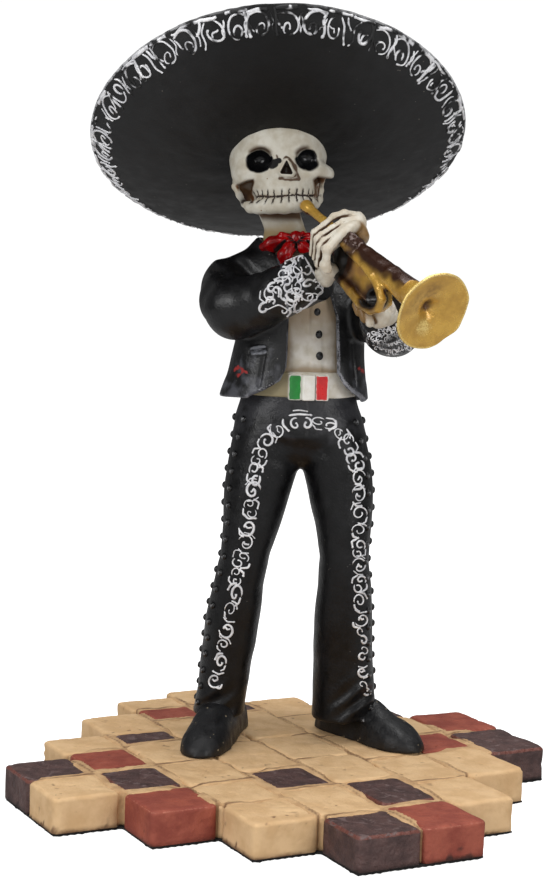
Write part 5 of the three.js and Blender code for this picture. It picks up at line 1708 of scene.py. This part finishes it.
def bow_tie_field(points):
    """Wings and tails are rods that are flattened front to back and folded lengthwise, round a knot."""
    middle = on_depth([(296, 239)], 6.4)[0]
    flat = points + (points - middle) * [0, 0.5, 0]
    parts = []
    for rows in TIE_PARTS:
        table = np.array(rows)
        places = on_depth(table[:, :2], table[:, 2])
        places = places + (places - middle) * [0, 0.5, 0]
        parts.append(chain_between(flat, places, table[:, 3], 0.6))
    tie = np.minimum.reduce(parts)
    turned = np.arctan2(points[:, 2] - middle[2], points[:, 0] - middle[0])
    folds = 0.24 * np.sin(turned * 11 + 2.5 * noise(points, 3.0, 61))
    knot = egg(points, middle + [0, -0.2, 0.3], (1.6, 1.4, 1.9))
    return blend_in(tie + folds, knot, 0.4) + 0.06 * noise(points, 1.2, 16)


make_solid("bow_tie", bow_tie_field, at(-13, 1.0, 125), at(6.5, 12, 139), 0.28, "tie_red")

# %% [markdown]
# ## The sombrero
#
# The hat is one surface of revolution on a leaning axis: a closed profile that runs from the middle of the
# underside out to the rim and back up over the crown. The brim also bends like a saddle, higher in front
# and behind than at the sides.

# %% The hat's frame
BRIM_RADIUS, BRIM_THICKNESS, BRIM_SAG, BRIM_SADDLE = 50.1, 2.2, 11.6, 1.67
BAND_WIDTH, RIM_ROUND = 4.6, 0.9
FOLD = BRIM_RADIUS - BAND_WIDTH
LEAN, CANT = np.radians(33.1), np.radians(4.4)
HAT_CENTRE = at(-7.3, 18, 164.7)
HAT_RIGHT = np.array([np.cos(CANT), 0, np.sin(CANT)])
HAT_UP = np.array([-np.sin(CANT) * np.cos(LEAN), np.sin(LEAN), np.cos(CANT) * np.cos(LEAN)])
HAT_BACK = np.cross(HAT_UP, HAT_RIGHT)
HAT_FRAME = np.stack([HAT_RIGHT, HAT_BACK, HAT_UP])


def on_hat(radius, height, angle):
    """A place on the hat: round its axis, at a height along it that the saddle lifts or lowers."""
    saddle = -BRIM_SADDLE * np.cos(2 * angle) * (radius / BRIM_RADIUS) ** 2
    local = np.broadcast_arrays(radius * np.cos(angle), radius * np.sin(angle), height + saddle)
    return HAT_CENTRE + np.stack(local, axis=-1) @ HAT_FRAME


def underside(radius):
    """The height under the brim: from the sag in the middle it rises with the cube of the radius."""
    share = np.clip(radius / FOLD, 0, 1)
    return -BRIM_SAG + (BRIM_SAG - BAND_WIDTH) * share ** 3


# %% The hat's surface
def hat_profile():
    """Radius and height from the middle of the underside, round the rim, and up to the crown's dent."""
    below = np.linspace(0, FOLD, 60)
    rows = [np.stack([below, underside(below)], axis=1)]
    stops = [[FOLD, underside(FOLD)], [BRIM_RADIUS - RIM_ROUND, -RIM_ROUND * 1.2], [BRIM_RADIUS, 0],
             [BRIM_RADIUS - RIM_ROUND, RIM_ROUND * 0.6]]
    inner = np.linspace(FOLD - RIM_ROUND, 20, 26)
    stops += [[r, underside(r) + BRIM_THICKNESS] for r in inner]
    stops += [[18.2, -4.4], [17.0, -3.2], [16.0, 0.5], [13.2, 9], [10.2, 18], [9.0, 22], [7.6, 24.1],
              [5.4, 24.0], [3.6, 22.4], [1.6, 21.2], [0, 20.9]]
    stops = np.array(stops)
    run = run_along(stops)
    fine = np.arange(0.5, run[-1], 0.55)
    return np.concatenate(rows + [resampled(fine, run, stops), stops[-1:]])


def hat_lumps(points, radius):
    """The casting is a little lumpy, by up to a third of a millimetre or so along the hat's axis."""
    flat = points.reshape(-1, 3)
    band = np.clip((np.broadcast_to(radius, points.shape[:-1]).ravel() - 43) / 1.5, 0, 1)
    lump = (0.16 * noise(flat, 5.0, 31)
            + (0.06 + 0.14 * band) * noise(flat, 1.7, 32)).reshape(points.shape[:-1])
    return points + HAT_UP * (lump * np.clip((radius - 3) / 8, 0, 1))[..., None]


def make_hat(around=360):
    """Spins the profile round the hat's axis, and stores its worn edge, its fold and how far each point is
    to the side of the middle, where the paint is darkened as painted shadow."""
    profile = hat_profile()
    angle = round_angles(around)
    points = on_hat(profile[:, :1], profile[:, 1:], angle[None, :]).reshape(-1, 3)
    faces = grid_faces(len(profile), around, wrap_columns=True)
    radius = np.repeat(profile[:, 0], around)
    points = hat_lumps(points, radius)
    edge = np.exp(-((radius - BRIM_RADIUS) / 0.9) ** 2)
    hollow = np.exp(-((radius - FOLD) / 1.2) ** 2) * 0.4
    # Painted shadow: the paint is darker near the hat's middle line, front to back, and fades to its sides.
    across = np.abs(radius * np.cos(np.tile(angle, len(profile)))) / 42
    made = make_piece("hat", points, faces[:, ::-1], paints["black_felt_hat"], "black_paint", welded=True,
                      hollow=hollow, edge=edge, middle=across)
    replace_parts(made, "sombrero")


make_hat()


# %% The cord round the crown
CORD_RADIUS, CORD_HEIGHT, CORD_TWIST, STRAND_RADIUS = 18.0, -2.9, 0.7, 0.75


def hat_cord(strands=3, turns=26, steps=520, around=8):
    """Strands twisted round each other at the foot of the crown: at the turn a each strand's middle is
    CORD_TWIST*(cos, sin)(turns*a + its share of the circle) off the cord's own middle."""
    parts = []
    for strand in range(strands):
        a = round_angles(steps)[:, None]
        twist = turns * a + 2 * np.pi * strand / strands
        ring = round_angles(around)[None, :]
        radius = CORD_RADIUS + CORD_TWIST * np.cos(twist) + STRAND_RADIUS * np.cos(ring)
        height = CORD_HEIGHT + CORD_TWIST * np.sin(twist) + STRAND_RADIUS * np.sin(ring)
        faces = grid_faces(steps, around, wrap_rows=True, wrap_columns=True)
        out = 0.5 + 0.5 * (np.cos(twist) + np.cos(ring)) / 2 + 0.25 * (np.sin(twist) + np.sin(ring))
        parts.append((on_hat(radius, height, a).reshape(-1, 3), faces, np.clip(out, 0, 1).ravel()))
    return joined(parts)


points, faces, out = hat_cord()
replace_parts(make_piece("hat_cord", points, faces, paints["scroll_silver"], "black_paint", hollow=1 - out,
                       edge=out, silver=out * 1.1 + 0.35 * noise(points, 2.0, 64)), "sombrero")

# %% The scrolls round the brim
BRIM_MOTIFS = [
    [(0.34, sweep_line((-0.50, 0.84), (-0.20, 1.0), (0.14, 0.92), (0.34, 0.62), (0.24, 0.30), (-0.06, 0.22))),
     (0.30, curl((0.0, 0.48), 0.20, 250, -290, 0.6)),
     (0.44, sweep_line((-0.54, 1.02), (-0.46, 0.66), (-0.40, 0.20))),
     (0.26, sweep_line((-0.50, 0.80), (-0.36, 0.56), (-0.24, 0.44))),
     (0.5, sweep_line((-0.52, 1.02), (-0.1, 1.05), (0.30, 1.02))),
     (0.24, sweep_line((0.36, 0.90), (0.50, 0.60), (0.42, 0.34)))],
    [(0.36, curl((-0.10, 0.58), 0.36, 100, 300, 0.55)),
     (0.30, sweep_line((0.10, 0.96), (0.32, 0.72), (0.28, 0.36), (0.42, 0.10))),
     (0.40, sweep_line((0.30, 1.0), (0.40, 0.74), (0.52, 0.62))),
     (0.24, sweep_line((-0.30, 0.62), (-0.10, 0.56), (-0.06, 0.40))),
     (0.5, sweep_line((-0.40, 1.04), (0.1, 1.03), (0.50, 1.04)))],
    [(0.34, sweep_line((-0.44, 0.96), (-0.38, 0.60), (-0.16, 0.30), (0.14, 0.32), (0.24, 0.56))),
     (0.32, curl((0.06, 0.66), 0.22, -30, 300, 0.6)),
     (0.42, sweep_line((0.20, 1.02), (0.40, 0.70), (0.36, 0.24))),
     (0.26, sweep_line((0.40, 0.66), (0.48, 0.50), (0.56, 0.46))),
     (0.26, sweep_line((-0.30, 0.94), (-0.10, 1.0), (0.10, 0.94)))]]


def band_place(angle, share):
    """A place on the turned-up band under the rim: the fold is at 0 and the edge at 1, and shares below 0
    lie inward of the fold."""
    radius = FOLD + (BRIM_RADIUS - RIM_ROUND - FOLD) * share
    height = np.where(share < 0, underside(radius),
                      underside(FOLD) + (-RIM_ROUND * 1.2 - underside(FOLD)) * share)
    return hat_lumps(on_hat(radius, height, angle), radius)


def lay_brim_scrolls(count=46, seed=40):
    """Motifs round the brim, all a little uneven and some turned over, laid on the turned-up band."""
    dice = np.random.default_rng(seed)
    angles, shares, widths = [], [], []
    for i in range(count):
        middle, flip = 2 * np.pi * (i + dice.normal(0, 0.05)) / count, (-1) ** dice.integers(2)
        for half, line in BRIM_MOTIFS[dice.choice(3, p=(0.5, 0.3, 0.2))]:
            if dice.random() < 0.94:
                wave = np.sin(np.linspace(0, 6, STROKE_STEPS))[:, None] * dice.normal(0, 0.03, 2)
                wave = wave + dice.normal(0, 0.02, 2)
                angles.append(middle + ((line + wave)[:, 0] * flip) * 2 * np.pi / count * 1.06)
                shares.append(np.minimum(-0.62 + (line + wave)[:, 1] * 1.66, 1.1))
                widths.append(half * dice.uniform(0.75, 1.5))
    angles, shares = np.array(angles), np.array(shares)
    lines = band_place(angles, shares)
    normals = np.cross(band_place(angles + 0.01, shares) - lines, band_place(angles, shares + 0.05) - lines)
    normals /= np.linalg.norm(normals, axis=2, keepdims=True)
    normals *= -np.sign((normals @ HAT_UP))[:, :, None]
    points, faces, raised = ribbons(lines, normals, np.array(widths), 0.4)
    around = np.repeat(angles.ravel(), RIBBON_SIDES)
    # Painted highlight: scrolls on the side of the brim that faces the light, at 118 degrees, are brighter
    # silver.
    shown = 0.5 + 0.5 * np.cos(around - np.radians(118))
    silver = raised * (0.5 + 0.5 * shown + 0.5 * noise(points, 3.0, seed) + 0.3 * noise(points, 0.9, seed))
    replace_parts(make_piece("brim_scrolls", points, faces, paints["scroll_silver"], "black_paint", welded=True,
                           silver=silver, hollow=1 - raised, edge=raised), "sombrero")


lay_brim_scrolls()

# %% The whole scene
size = {"cad": [list(map(float, corner)) for corner in cad_box], "visual": [list(map(float, corner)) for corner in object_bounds()]}
print(size)
